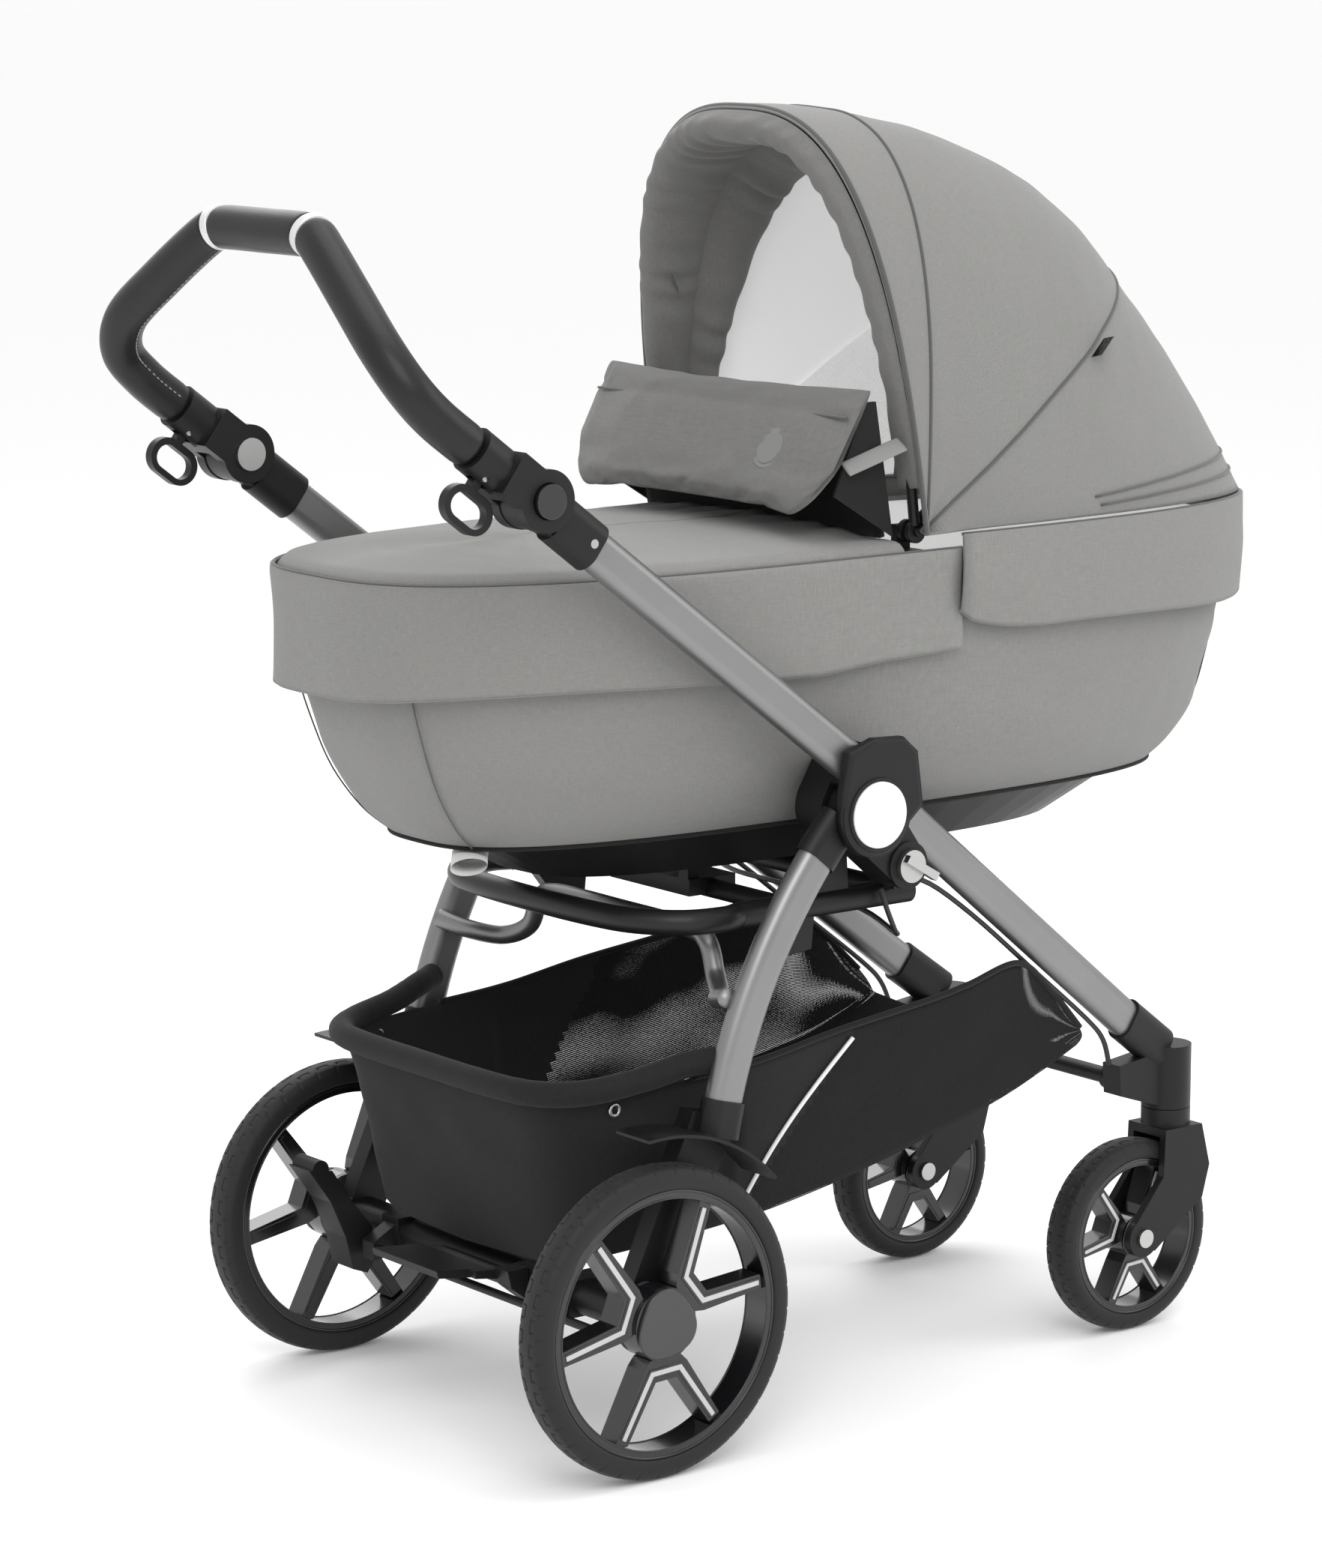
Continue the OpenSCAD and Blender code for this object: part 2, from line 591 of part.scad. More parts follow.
// Rim with three V-shaped spoke pairs: outer radius, barrel wall, hub radius and half widths
module spoked_rim(outer, wall, hub_r, hole_r, half_w, spoke_w, flat_r) rotate([90, 0, 0]) difference() {
  union() {
    difference() {
      translate([0, 0, -half_w]) cylinder(r = outer, h = 2 * half_w);
      translate([0, 0, -half_w - 1]) cylinder(r = outer - wall, h = 2 * half_w + 2);
    }
    translate([0, 0, -half_w]) cylinder(r = hub_r, h = 2 * half_w);
    for (a = [273, 159, 38]) rotate(a) for (s = [-1, 1]) translate([0, 0, -half_w + 3])
      linear_extrude(2 * half_w - 6) polygon([[flat_r - 6, s * (flat_r * 0.45)],
        [flat_r + 2, s * (flat_r * 0.45 + spoke_w / 2)],
        [cos(31) * (outer - wall / 2), s * sin(31) * (outer - wall / 2)],
        [cos(31) * (outer - wall / 2) + 1, s * (sin(31) * (outer - wall / 2) - spoke_w)],
        [flat_r + spoke_w, s * (flat_r * 0.45 - spoke_w * 0.3)], [flat_r + spoke_w, 0], [flat_r - 6, 0]]);
  }
  translate([0, 0, -half_w - 1]) cylinder(r = hole_r, h = 2 * half_w + 2);
}

rear_seat = rear_r - 20;
front_seat = front_r - 17;

module rear_tyre() color(black) translate([rear_axle_x, rear_wheel_y, rear_r])
  crowned_tyre(rear_seat + seat_gap, rear_r, rear_tyre_w);

module rear_rim() color(black) translate([rear_axle_x, rear_wheel_y, rear_r])
  spoked_rim(rear_seat, 8, 33, rear_shaft_r + pin_gap, rear_tyre_w / 2 - 2, 15, 36);

module rear_cap() color("gray") rod_y(rear_axle_x, rear_r, 24, rear_wheel_y + rear_tyre_w / 2 - 1.6,
  rear_wheel_y + rear_tyre_w / 2 + 2);

module front_tyre() color(black) translate([front_axle_x, caster_y, front_r])
  crowned_tyre(front_seat + seat_gap, front_r, front_tyre_w);

module front_rim() color(black) translate([front_axle_x, caster_y, front_r])
  spoked_rim(front_seat, 7, 20, bolt_r + pin_gap, front_tyre_w / 2 - 2, 11, 23);

arm_in = front_tyre_w / 2 + 1.5;
arm_out = arm_in + 8;
neck_low = front_r + 99;

module fork_outline() polygon([[stem_x - 24, neck_low + 4], [stem_x + 24, neck_low + 4],
  [stem_x + 35, neck_low - 38], [stem_x + 26, neck_low - 70], [front_axle_x + 14, front_r - 15],
  [front_axle_x - 12, front_r + 14], [stem_x - 26, neck_low - 42]]);

module caster_fork() color(black) difference() {
  union() {
    translate([stem_x, caster_y, neck_low]) cylinder(r = housing_r, h = housing_low - move_gap - neck_low);
    translate([stem_x, caster_y, neck_low]) cylinder(r = stem_r, h = 44 + housing_low - neck_low);
    slab_y(caster_y - arm_out, caster_y + arm_out) difference() {
      fork_outline();
      translate([front_axle_x, front_r]) circle(front_r + 4);
    }
    for (s = [-1, 1]) slab_y(caster_y + min(s * arm_in, s * arm_out), caster_y + max(s * arm_in, s * arm_out)) {
      fork_outline();
      translate([front_axle_x, front_r]) circle(19);
    }
  }
  rod_y(front_axle_x, front_r, bolt_r + pin_gap, caster_y - 40, caster_y + 40);
}

module axle_bolt() color("dimgray") {
  rod_y(front_axle_x, front_r, bolt_r, caster_y - arm_out - 2, caster_y + arm_out + 2);
  for (s = [-1, 1]) rod_y(front_axle_x, front_r, 9, caster_y + s * (arm_out + 1.7) - 1.5,
    caster_y + s * (arm_out + 1.7) + 1.5);
}

// ---- Brake and swivel dial ----------------------------------------------------------------------

module swivel_dial() color("silver") mirror([0, 1, 0]) {
  rod_y(dial_x, dial_z, 5, dial_y - 18, dial_y + 4);
  rod_y(dial_x, dial_z, 15, dial_y + 0.4, dial_y + 6);
  slab_y(dial_y + 5, dial_y + 13) polygon([[dial_x - 13, dial_z + 6], [dial_x - 9, dial_z + 12],
    [dial_x + 26, dial_z - 8], [dial_x + 22, dial_z - 15]]);
}

// ---- Carrycot ---------------------------------------------------------------------------------------

rim_mid = (cot_foot_x + cot_head_x) / 2;
rim_half_l = (cot_head_x - cot_foot_x) / 2;

// Rounded plan outline between two X values with a half width
function plan(x0, x1, hw, n = 48) = [for (i = [0:n - 1]) let (c = cos(360 * i / n), s = sin(360 * i / n))
  [(x0 + x1) / 2 + (x1 - x0) / 2 * sign(c) * pow(abs(c), 0.66), hw * sign(s) * pow(abs(s), 0.66)]];

// One hull through plan outlines: rows are height, inset at the foot, inset at the head, inset at the side
module cot_loft(rows, grow = 0) hull() for (r = rows) translate([0, 0, r[0]]) linear_extrude(0.5)
  polygon(plan(cot_foot_x + r[1] - grow, cot_head_x - r[2] + grow, cot_half_w - r[3] + grow));

shell_rows = [[cot_rim_z - 242, 94, 76, 54], [cot_rim_z - 182, 48, 34, 23], [cot_rim_z - 92, 14, 11, 6],
  [cot_rim_z - 0.5, 0, 0, 0]];
clear_rows = concat(shell_rows, [[cot_rim_z + 0.5, 0, 0, 0]]);

module cot_base() color(black) hull() {
  translate([0, 0, cot_rim_z - 280]) linear_extrude(1) polygon(plan(-262, 350, 105));
  translate([0, 0, cot_rim_z - 244]) linear_extrude(1) polygon(plan(-330, 425, 132));
}

module cot_shell() color(cloth_grey) difference() {
  cot_loft(shell_rows);
  intersection() {
    cot_loft(concat(shell_rows, [[cot_rim_z + 5, 0, 0, 0]]), -cot_wall);
    translate([-1000, -1000, cot_rim_z - 226]) cube([2000, 2000, 400]);
  }
}

module mattress() color("white") hull() {
  translate([0, 0, cot_rim_z - 224]) linear_extrude(1) polygon(plan(-352, 455, 128));
  translate([0, 0, cot_rim_z - 196]) linear_extrude(1) polygon(plan(-372, 478, 140));
}

apron_end = 34;
skirt_start = 82;
apron_rows = [[cot_rim_z - 95.5, 4, 4, -1], [cot_rim_z + 6, -13, -13, -8], [cot_rim_z + 22, 16, 16, 22],
  [cot_rim_z + 30, 70, 70, 70]];
under_apron_rows = [[cot_rim_z - 120, 17, 12, 6], [cot_rim_z + 0.5, 0, 0, 0]];

// A loft cut off square at the head end of the apron
module foot_part(rows, grow, reach) hull() intersection() {
  cot_loft(rows, grow);
  translate([-1000, -500, 0]) cube([1000 + apron_end + reach, 1000, 2000]);
}

module apron() color(cloth_grey) difference() {
  foot_part(apron_rows, 0, 0);
  foot_part(under_apron_rows, 1, 5);
}

module head_skirt() color(cloth_grey) difference() {
  intersection() {
    cot_loft([[cot_rim_z - 54, -2, -6, -5], [cot_rim_z + 18, -13, -13, -8]]);
    translate([skirt_start, -500, 0]) cube([1000, 1000, 2000]);
  }
  cot_loft(clear_rows, 1);
  cot_loft([[cot_rim_z, 0, 2, 2], [cot_rim_z + 30, 0, 2, 2]]);
}

hood_x = 58;
hood_z = cot_rim_z + 21;
hood_pin_r = 4;

module hood_pivots() color(black) both_sides() {
  translate([hood_x - 8, cot_half_w - 36, cot_rim_z + 0.4]) cube([16, 8, 26]);
  translate([hood_x - 8, cot_half_w - 36, cot_rim_z + 0.4]) cube([16, 34, 4]);
  rod_y(hood_x, hood_z, hood_pin_r, cot_half_w - 30, cot_half_w - 6);
}

ridge = [0, cot_rim_z + 150];

// The wall behind the wind flap, standing on the head end of the apron
module flap_wall() color(cloth_grey) slab_y(-160, 160) polygon([[apron_end + 1.5, cot_rim_z + 4],
  [apron_end + 6, cot_rim_z + 4], [apron_end + 6, cot_rim_z + 34], [ridge.x + 8, ridge.y - 4],
  [ridge.x + 1, ridge.y - 4], [apron_end + 1.5, cot_rim_z + 32]]);

flap_half_w = 190;

module wind_flap() color(cloth_grey) {
  slab_y(-flap_half_w, flap_half_w) polygon([[ridge.x - 60, ridge.y - 108], [ridge.x - 70, ridge.y - 104],
    [ridge.x - 4, ridge.y + 3], [ridge.x + 3, ridge.y]]);
  rod_y(ridge.x, ridge.y + 2, 5, -flap_half_w, flap_half_w);
}

// ---- Hood ---------------------------------------------------------------------------------------------

// Half outline of an arch: half width and height
function arch(hw, h, n = 24) = [for (i = [0:n]) let (c = cos(180 * i / n), s = sin(180 * i / n))
  [hw * sign(c) * pow(abs(c), 0.72), h * pow(s, 0.72)]];

// An arch outline as a thin slab, leaning back from the upright by an angle about the hood pivot
module arch_slab(hw, h, lean, t = 2) translate([hood_x, 0, hood_z]) rotate([0, lean, 0])
  rotate([90, 0, 90]) translate([0, 0, -t / 2]) linear_extrude(t) polygon(arch(hw, h));

front_lean = -9.3;
rear_lean = 56.5;

module canopy_form(grow, reach) hull() {
  arch_slab(cot_half_w + 5 + grow, hood_r + grow, front_lean - reach);
  arch_slab(cot_half_w + 5 + grow, hood_r - 4 + grow, 6);
  arch_slab(cot_half_w - 3 + grow, hood_r + 24 + grow, rear_lean);
  translate([0, 0, hood_z]) linear_extrude(1) intersection() {
    polygon(plan(cot_foot_x - 8 - grow, cot_head_x + 10 + grow, cot_half_w + 5 + grow));
    translate([hood_x, -500]) square([1000, 1000]);
  }
}

canopy_wall = 7;

module hood_canopy() color(cloth_grey) difference() {
  intersection() {
    canopy_form(0, 0);
    translate([-1000, -500, hood_z + 1]) cube([2000, 1000, 1000]);
  }
  canopy_form(-canopy_wall, 2);
  translate([-1000, -cot_half_w + 2, hood_z - 10]) cube([1060, 2 * cot_half_w - 4, 14]);
}

bow_r = 5;
front_bow_hw = cot_half_w - 12;
rear_bow_hw = cot_half_w - 23;

// A bow: an arch of round section with a flat eye at each end
module bow(hw, h, lean) translate([hood_x, 0, hood_z]) rotate([0, lean, 0]) difference() {
  union() {
    sweep(concat([[0, hw, 6]], [for (i = [1:31]) let (a = 180 * i / 32, c = cos(a), s = sin(a))
      [0, hw * sign(c) * pow(abs(c), 0.72), h * pow(s, 0.72)]], [[0, -hw, 6]]), bow_r, 10, [1, 0, 0]);
    both_sides() rod_y(0, 0, 10.5, hw - 2.5, hw + 2.5);
  }
  both_sides() rod_y(0, 0, hood_pin_r + pin_gap, hw - 20, hw + 20);
}

module front_bow() color(black) bow(front_bow_hw, hood_r - 19, front_lean + 3);

module rear_bow() color(black) bow(rear_bow_hw, hood_r + 6, rear_lean);

// ---- Basket -------------------------------------------------------------------------------------------

// Corner rows of the basket from rear to front: X, half width and Z at the top, then at the bottom
basket_rows = [[-346, 158, rim_z - 14, -318, 142, 172], [-300, 186, rim_z - 10, -290, 160, 176],
  [-215, 192, rim_z - 6, -200, 168, 182], [188, 182, 384, 192, 150, 245], [284, 164, 308, 290, 150, 286]];

module basket_form(inset, lift) hull() for (r = basket_rows, s = [-1, 1]) {
  translate([r[0] - sign(r[0]) * inset, s * (r[1] - inset), r[2] + lift]) sphere(3, $fn = 12);
  translate([r[3] - sign(r[3]) * inset, s * (r[4] - inset), r[5] + inset]) sphere(3, $fn = 12);
}

module basket() color(black) difference() {
  basket_form(0, 0);
  basket_form(basket_wall, 40);
}

both_sides() front_leg();  // front_legs
side(1) pivot_casting(false);  // pivot_casting_left
side(-1) pivot_casting(true);  // pivot_casting_right
pivot_pins();
support_frame();
support_bar();
front_crossbar();
both_sides() caster_housing();  // caster_housings
swivel_cables();
handle_tubes();
both_sides() hub_housing();  // hub_housings
hub_discs();
side(1) joint_lower();  // joint_lower_left
side(-1) joint_lower();  // joint_lower_right
sleeve_screws();
side(1) joint_upper();  // joint_upper_left
side(-1) joint_upper();  // joint_upper_right
joint_pins();
handle_core();
handle_grips();
centre_grip();
grip_rings();
side(1) joint_button();  // joint_button_left
side(-1) joint_button();  // joint_button_right
side(1) fold_lever();  // fold_lever_left
side(-1) fold_lever();  // fold_lever_right
rear_legs();
leg_castings();
rear_cross_bar();
rear_axle_beam();
basket_rim_bar();
foot_step();
brake_pedal();
side(1) rear_tyre();  // rear_tyre_left
side(-1) rear_tyre();  // rear_tyre_right
side(1) rear_rim();  // rear_rim_left
side(-1) rear_rim();  // rear_rim_right
side(1) rear_cap();  // rear_cap_left
side(-1) rear_cap();  // rear_cap_right
side(1) caster_fork();  // caster_fork_left
side(-1) caster_fork();  // caster_fork_right
side(1) axle_bolt();  // axle_bolt_left
side(-1) axle_bolt();  // axle_bolt_right
side(1) front_tyre();  // front_tyre_left
side(-1) front_tyre();  // front_tyre_right
side(1) front_rim();  // front_rim_left
side(-1) front_rim();  // front_rim_right
swivel_dial();
cot_base();
cot_shell();
mattress();
apron();
flap_wall();
head_skirt();
hood_pivots();
wind_flap();
hood_canopy();
front_bow();
rear_bow();
basket();
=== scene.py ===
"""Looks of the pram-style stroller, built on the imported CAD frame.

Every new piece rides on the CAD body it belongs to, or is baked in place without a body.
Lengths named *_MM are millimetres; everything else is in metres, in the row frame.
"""

import json
import logging
import math
from dataclasses import dataclass, field
from enum import Enum
from typing import Callable, Iterable, Sequence

import bmesh
import bpy
from mathutils import Matrix, Vector, noise

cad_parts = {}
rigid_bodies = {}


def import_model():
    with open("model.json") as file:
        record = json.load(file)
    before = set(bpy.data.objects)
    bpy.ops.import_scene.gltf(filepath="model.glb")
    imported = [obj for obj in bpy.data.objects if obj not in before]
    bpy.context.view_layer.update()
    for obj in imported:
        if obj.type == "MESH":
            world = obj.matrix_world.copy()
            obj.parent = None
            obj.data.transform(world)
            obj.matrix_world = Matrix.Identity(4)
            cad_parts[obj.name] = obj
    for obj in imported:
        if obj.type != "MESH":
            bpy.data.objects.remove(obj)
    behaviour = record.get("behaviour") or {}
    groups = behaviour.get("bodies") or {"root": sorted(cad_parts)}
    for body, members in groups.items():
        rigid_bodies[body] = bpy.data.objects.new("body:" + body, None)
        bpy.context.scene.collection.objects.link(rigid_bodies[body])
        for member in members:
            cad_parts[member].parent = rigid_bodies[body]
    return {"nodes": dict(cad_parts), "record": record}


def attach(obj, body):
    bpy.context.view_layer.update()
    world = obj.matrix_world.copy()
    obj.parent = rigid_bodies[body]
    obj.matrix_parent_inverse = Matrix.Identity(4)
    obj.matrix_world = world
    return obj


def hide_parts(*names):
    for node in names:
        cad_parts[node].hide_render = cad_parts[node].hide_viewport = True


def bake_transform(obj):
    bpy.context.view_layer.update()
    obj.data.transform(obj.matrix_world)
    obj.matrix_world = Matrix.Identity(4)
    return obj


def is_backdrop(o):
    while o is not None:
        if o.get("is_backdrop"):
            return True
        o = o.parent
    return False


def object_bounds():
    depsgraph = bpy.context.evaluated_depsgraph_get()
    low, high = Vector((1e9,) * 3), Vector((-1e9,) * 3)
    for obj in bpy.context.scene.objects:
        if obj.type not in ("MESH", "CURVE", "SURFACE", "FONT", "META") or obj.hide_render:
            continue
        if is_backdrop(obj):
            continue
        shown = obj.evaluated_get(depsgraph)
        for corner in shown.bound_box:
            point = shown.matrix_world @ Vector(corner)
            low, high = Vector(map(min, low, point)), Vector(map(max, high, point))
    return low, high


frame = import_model()

log = logging.getLogger("stroller")
MM = 0.001
TAU = 2 * math.pi

HUB = Vector((-45, 0, 565))
SIDE_Y = 229.0
HANDLE_DIR = Vector((-0.8, 0, 0.6))
HANDLE_UP = Vector((0.6, 0, 0.8))
HANDLE_OFFSET = 28.0
COT_FOOT_X, COT_HEAD_X, COT_HALF_W, RIM_Z = -466.0, 554.0, 192.0, 782.0
PIVOT = Vector((58, 0, 803))
HOOD_R = 383.0
FRONT_LEAN, REAR_LEAN = -9.3, 56.5
REAR_AXLE = Vector((-290, 0, 141))
FRONT_AXLE = Vector((352, 0, 94))
REAR_WHEEL_Y, CASTER_Y = 247.0, 161.0


class Side(Enum):
    """A side of the stroller and its sign along Y."""

    LEFT = 1
    RIGHT = -1

    @property
    def word(self) -> str:
        """The side's name as the CAD nodes spell it."""
        return self.name.lower()


@dataclass(frozen=True)
class Finish:
    """One surface finish.

    Attributes:
        name: Material name.
        colour: Linear base colour.
        rough: Roughness.
        metal: Metallic share.
        coat: Clear coat weight.
        sheen: Fibre sheen weight.
        grain: Height of the fine surface grain in metres.
        grain_scale: Grain cells per metre.
        edge: Radius of the softened edges in metres, 0 for none.
        spec: Specular level.
    """

    name: str
    colour: tuple[float, float, float]
    rough: float = 0.5
    metal: float = 0.0
    coat: float = 0.0
    sheen: float = 0.0
    grain: float = 0.0
    grain_scale: float = 1500.0
    edge: float = 0.0
    spec: float = 0.5


@dataclass(frozen=True)
class Cloth:
    """A woven finish.

    Attributes:
        name: Material name.
        dark: Colour of the darker threads.
        light: Colour of the lighter threads.
        threads: Threads per metre.
        height: Height of the weave in metres.
        clear: Share of each stripe that is open, 0 for closed cloth.
        glow: Share of painted light the cloth gives off as its own emission, which brightens linings as if lit from all
            round.
        sheen: Fibre sheen weight.
    """

    name: str
    dark: tuple[float, float, float]
    light: tuple[float, float, float]
    threads: float = 620.0
    height: float = 0.00022
    clear: float = 0.0
    glow: float = 0.0
    sheen: float = 0.2


FINISHES: dict[str, Finish] = {
    "tube": Finish("satin_tube", (0.235, 0.235, 0.238), 0.36, 0.85, grain=0.00002, grain_scale=5200, edge=0.0008),
    "black_plastic": Finish("black_plastic", (0.008, 0.008, 0.009), 0.42, grain=0.00005, edge=0.0012, spec=0.26),
    "gloss_black": Finish("gloss_black", (0.005, 0.005, 0.006), 0.08, coat=0.6, edge=0.0015),
    "disc_white": Finish("disc_white", (0.82, 0.82, 0.81), 0.3, edge=0.001),
    "leatherette": Finish("leatherette", (0.008, 0.008, 0.009), 0.42, coat=0.08, grain=0.00012, grain_scale=900, spec=0.28),
    "ring_pale": Finish("ring_pale", (0.62, 0.62, 0.62), 0.3, 0.35, edge=0.0006),
    "tyre": Finish("tyre", (0.012, 0.012, 0.013), 0.62, sheen=0.05, grain=0.00004, grain_scale=1200, spec=0.3),
    "rim_black": Finish("rim_black", (0.006, 0.006, 0.007), 0.2, coat=0.3, edge=0.001),
    "cap_grey": Finish("cap_grey", (0.03, 0.03, 0.031), 0.26, coat=0.25, edge=0.0012),
    "cable_rubber": Finish("cable_rubber", (0.012, 0.012, 0.012), 0.5),
    "steel": Finish("steel", (0.46, 0.46, 0.45), 0.3, 1.0, grain=0.00001, edge=0.0004),
    "inlay": Finish("inlay", (0.5, 0.5, 0.5), 0.34, 0.5, edge=0.0004),
    "piping": Finish("piping", (0.07, 0.07, 0.068), 0.85, sheen=0.3, grain=0.00015, grain_scale=1100),
    "piping_white": Finish("piping_white", (0.75, 0.75, 0.74), 0.6, sheen=0.2, grain=0.0001),
    "cloth_dark": Finish("cloth_dark", (0.009, 0.009, 0.009), 0.9, sheen=0.1, grain=0.0002, grain_scale=1000, spec=0.2),
    "badge": Finish("badge", (0.16, 0.16, 0.155), 0.35, coat=0.2, edge=0.0006),
    "thread": Finish("thread", (0.3, 0.3, 0.29), 0.8),
    "strap": Finish("strap", (0.2, 0.2, 0.195), 0.65, grain=0.0001, edge=0.0006),
}

CLOTHS: dict[str, Cloth] = {
    "cloth_grey": Cloth("cloth_grey", (0.172, 0.17, 0.163), (0.238, 0.236, 0.227), 900, 0.00016),
    "cloth_flap": Cloth("cloth_flap", (0.118, 0.117, 0.112), (0.168, 0.166, 0.16), 900, 0.00016),
    "cloth_black": Cloth("cloth_black", (0.007, 0.007, 0.007), (0.014, 0.014, 0.015), 900, 0.00012, sheen=0.06),
    # The lining and the ribbed lining glow with painted light, a share of emission that brightens them as if lit from
    # all round.
    "lining": Cloth("lining", (0.82, 0.82, 0.82), (0.88, 0.88, 0.88), 1300, 0.00008, glow=0.26),
    "rib_white": Cloth("rib_white", (0.72, 0.72, 0.72), (0.9, 0.9, 0.9), 260, 0.0004, glow=0.22),
    "mesh_black": Cloth("mesh_black", (0.005, 0.005, 0.005), (0.011, 0.011, 0.011), 420, 0.0002, 0.13, sheen=0.03),
    "mattress_white": Cloth("mattress_white", (0.74, 0.74, 0.73), (0.82, 0.82, 0.81), 1100, 0.0001),
}

NODE_SLOTS: dict[str, str] = {s["node"]: s["material_slot"] for s in frame["record"]["subparts"]}


# ---- Materials ---------------------------------------------------------------------------------


class Shaders:
    """Builds the procedural materials and the node groups they share."""

    def __init__(self) -> None:
        self.made: dict[str, bpy.types.Material] = {}
        self.grain = self._grain_group()
        self.weave = self._weave_group()

    @staticmethod
    def _group(name: str, inputs: Iterable[tuple[str, str, float]], outputs: Iterable[tuple[str, str]]):
        """An empty shader node group with its sockets.

        Args:
            name: Group name.
            inputs: Socket name, socket type and default.
            outputs: Socket name and socket type.

        Returns:
            The tree, its input node and its output node.
        """
        tree = bpy.data.node_groups.new(name, "ShaderNodeTree")
        for label, kind, default in inputs:
            s = tree.interface.new_socket(name=label, in_out="INPUT", socket_type=kind)
            if kind == "NodeSocketFloat":
                s.default_value = default
        for label, kind in outputs:
            tree.interface.new_socket(name=label, in_out="OUTPUT", socket_type=kind)
        return tree, tree.nodes.new("NodeGroupInput"), tree.nodes.new("NodeGroupOutput")

    @staticmethod
    def _math(tree, op: str, a, b=None):
        """A math node fed by sockets or numbers; returns its output."""
        n = tree.nodes.new("ShaderNodeMath")
        n.operation = op
        for i, x in enumerate((a, b)):
            if x is None:
                continue
            if isinstance(x, (int, float)):
                n.inputs[i].default_value = x
            else:
                tree.links.new(x, n.inputs[i])
        return n.outputs[0]

    def _grain_group(self):
        """Fine cell grain and a slow wear tone, both from a position."""
        tree, gi, go = self._group(
            "SurfaceGrain",
            [("Vector", "NodeSocketVector", 0), ("Scale", "NodeSocketFloat", 1500.0)],
            [("Height", "NodeSocketFloat"), ("Tone", "NodeSocketFloat")],
        )
        cells = tree.nodes.new("ShaderNodeTexVoronoi")
        tree.links.new(gi.outputs["Vector"], cells.inputs["Vector"])
        tree.links.new(gi.outputs["Scale"], cells.inputs["Scale"])
        fine = tree.nodes.new("ShaderNodeTexNoise")
        tree.links.new(gi.outputs["Vector"], fine.inputs["Vector"])
        tree.links.new(self._math(tree, "MULTIPLY", gi.outputs["Scale"], 0.6), fine.inputs["Scale"])
        slow = tree.nodes.new("ShaderNodeTexNoise")
        slow.inputs["Scale"].default_value = 14.0
        slow.inputs["Detail"].default_value = 4.0
        tree.links.new(gi.outputs["Vector"], slow.inputs["Vector"])
        tree.links.new(
            self._math(tree, "ADD", cells.outputs["Distance"], self._math(tree, "MULTIPLY", fine.outputs[0], 0.5)),
            go.inputs["Height"],
        )
        tree.links.new(slow.outputs[0], go.inputs["Tone"])
        return tree

    def _weave_group(self):
        """A plain weave with melange threads, from a flat position in metres."""
        tree, gi, go = self._group(
            "PlainWeave",
            [("Vector", "NodeSocketVector", 0), ("Threads", "NodeSocketFloat", 600.0)],
            [("Height", "NodeSocketFloat"), ("Tone", "NodeSocketFloat"), ("Stripe", "NodeSocketFloat")],
        )
        parts = tree.nodes.new("ShaderNodeSeparateXYZ")
        tree.links.new(gi.outputs["Vector"], parts.inputs[0])
        m = lambda op, a, b=None: self._math(tree, op, a, b)
        x = m("MULTIPLY", parts.outputs[0], gi.outputs["Threads"])
        y = m("MULTIPLY", parts.outputs[1], gi.outputs["Threads"])
        warp = m("ABSOLUTE", m("SINE", m("MULTIPLY", x, math.pi)))
        weft = m("ABSOLUTE", m("SINE", m("MULTIPLY", y, math.pi)))
        over = m("MODULO", m("ABSOLUTE", m("ADD", m("FLOOR", x), m("FLOOR", y))), 2.0)
        height = m("ADD", m("MULTIPLY", warp, over), m("MULTIPLY", weft, m("SUBTRACT", 1.0, over)))
        tree.links.new(height, go.inputs["Height"])
        tones = []
        for stretch in ((0.12, 1.0, 1.0), (1.0, 0.12, 1.0)):
            scale = tree.nodes.new("ShaderNodeVectorMath")
            scale.operation = "MULTIPLY"
            scale.inputs[1].default_value = stretch
            tree.links.new(gi.outputs["Vector"], scale.inputs[0])
            n = tree.nodes.new("ShaderNodeTexNoise")
            n.inputs["Detail"].default_value = 1.0
            tree.links.new(scale.outputs[0], n.inputs["Vector"])
            tree.links.new(m("MULTIPLY", gi.outputs["Threads"], 0.9), n.inputs["Scale"])
            tones.append(n.outputs[0])
        mix = m("ADD", m("MULTIPLY", tones[0], over), m("MULTIPLY", tones[1], m("SUBTRACT", 1.0, over)))
        sharp = m("ADD", m("MULTIPLY", m("SUBTRACT", mix, 0.5), 1.5), 0.5)
        tree.links.new(m("MINIMUM", m("MAXIMUM", sharp, 0.0), 1.0), go.inputs["Tone"])
        tree.links.new(m("FRACT", y), go.inputs["Stripe"])
        return tree

    @staticmethod
    def _start(name: str):
        """A material with an empty tree and one Principled shader wired to the output."""
        mat = bpy.data.materials.new(name)
        mat.use_nodes = True
        tree = mat.node_tree
        tree.nodes.clear()
        out = tree.nodes.new("ShaderNodeOutputMaterial")
        bsdf = tree.nodes.new("ShaderNodeBsdfPrincipled")
        tree.links.new(bsdf.outputs[0], out.inputs[0])
        return mat, tree, bsdf, out

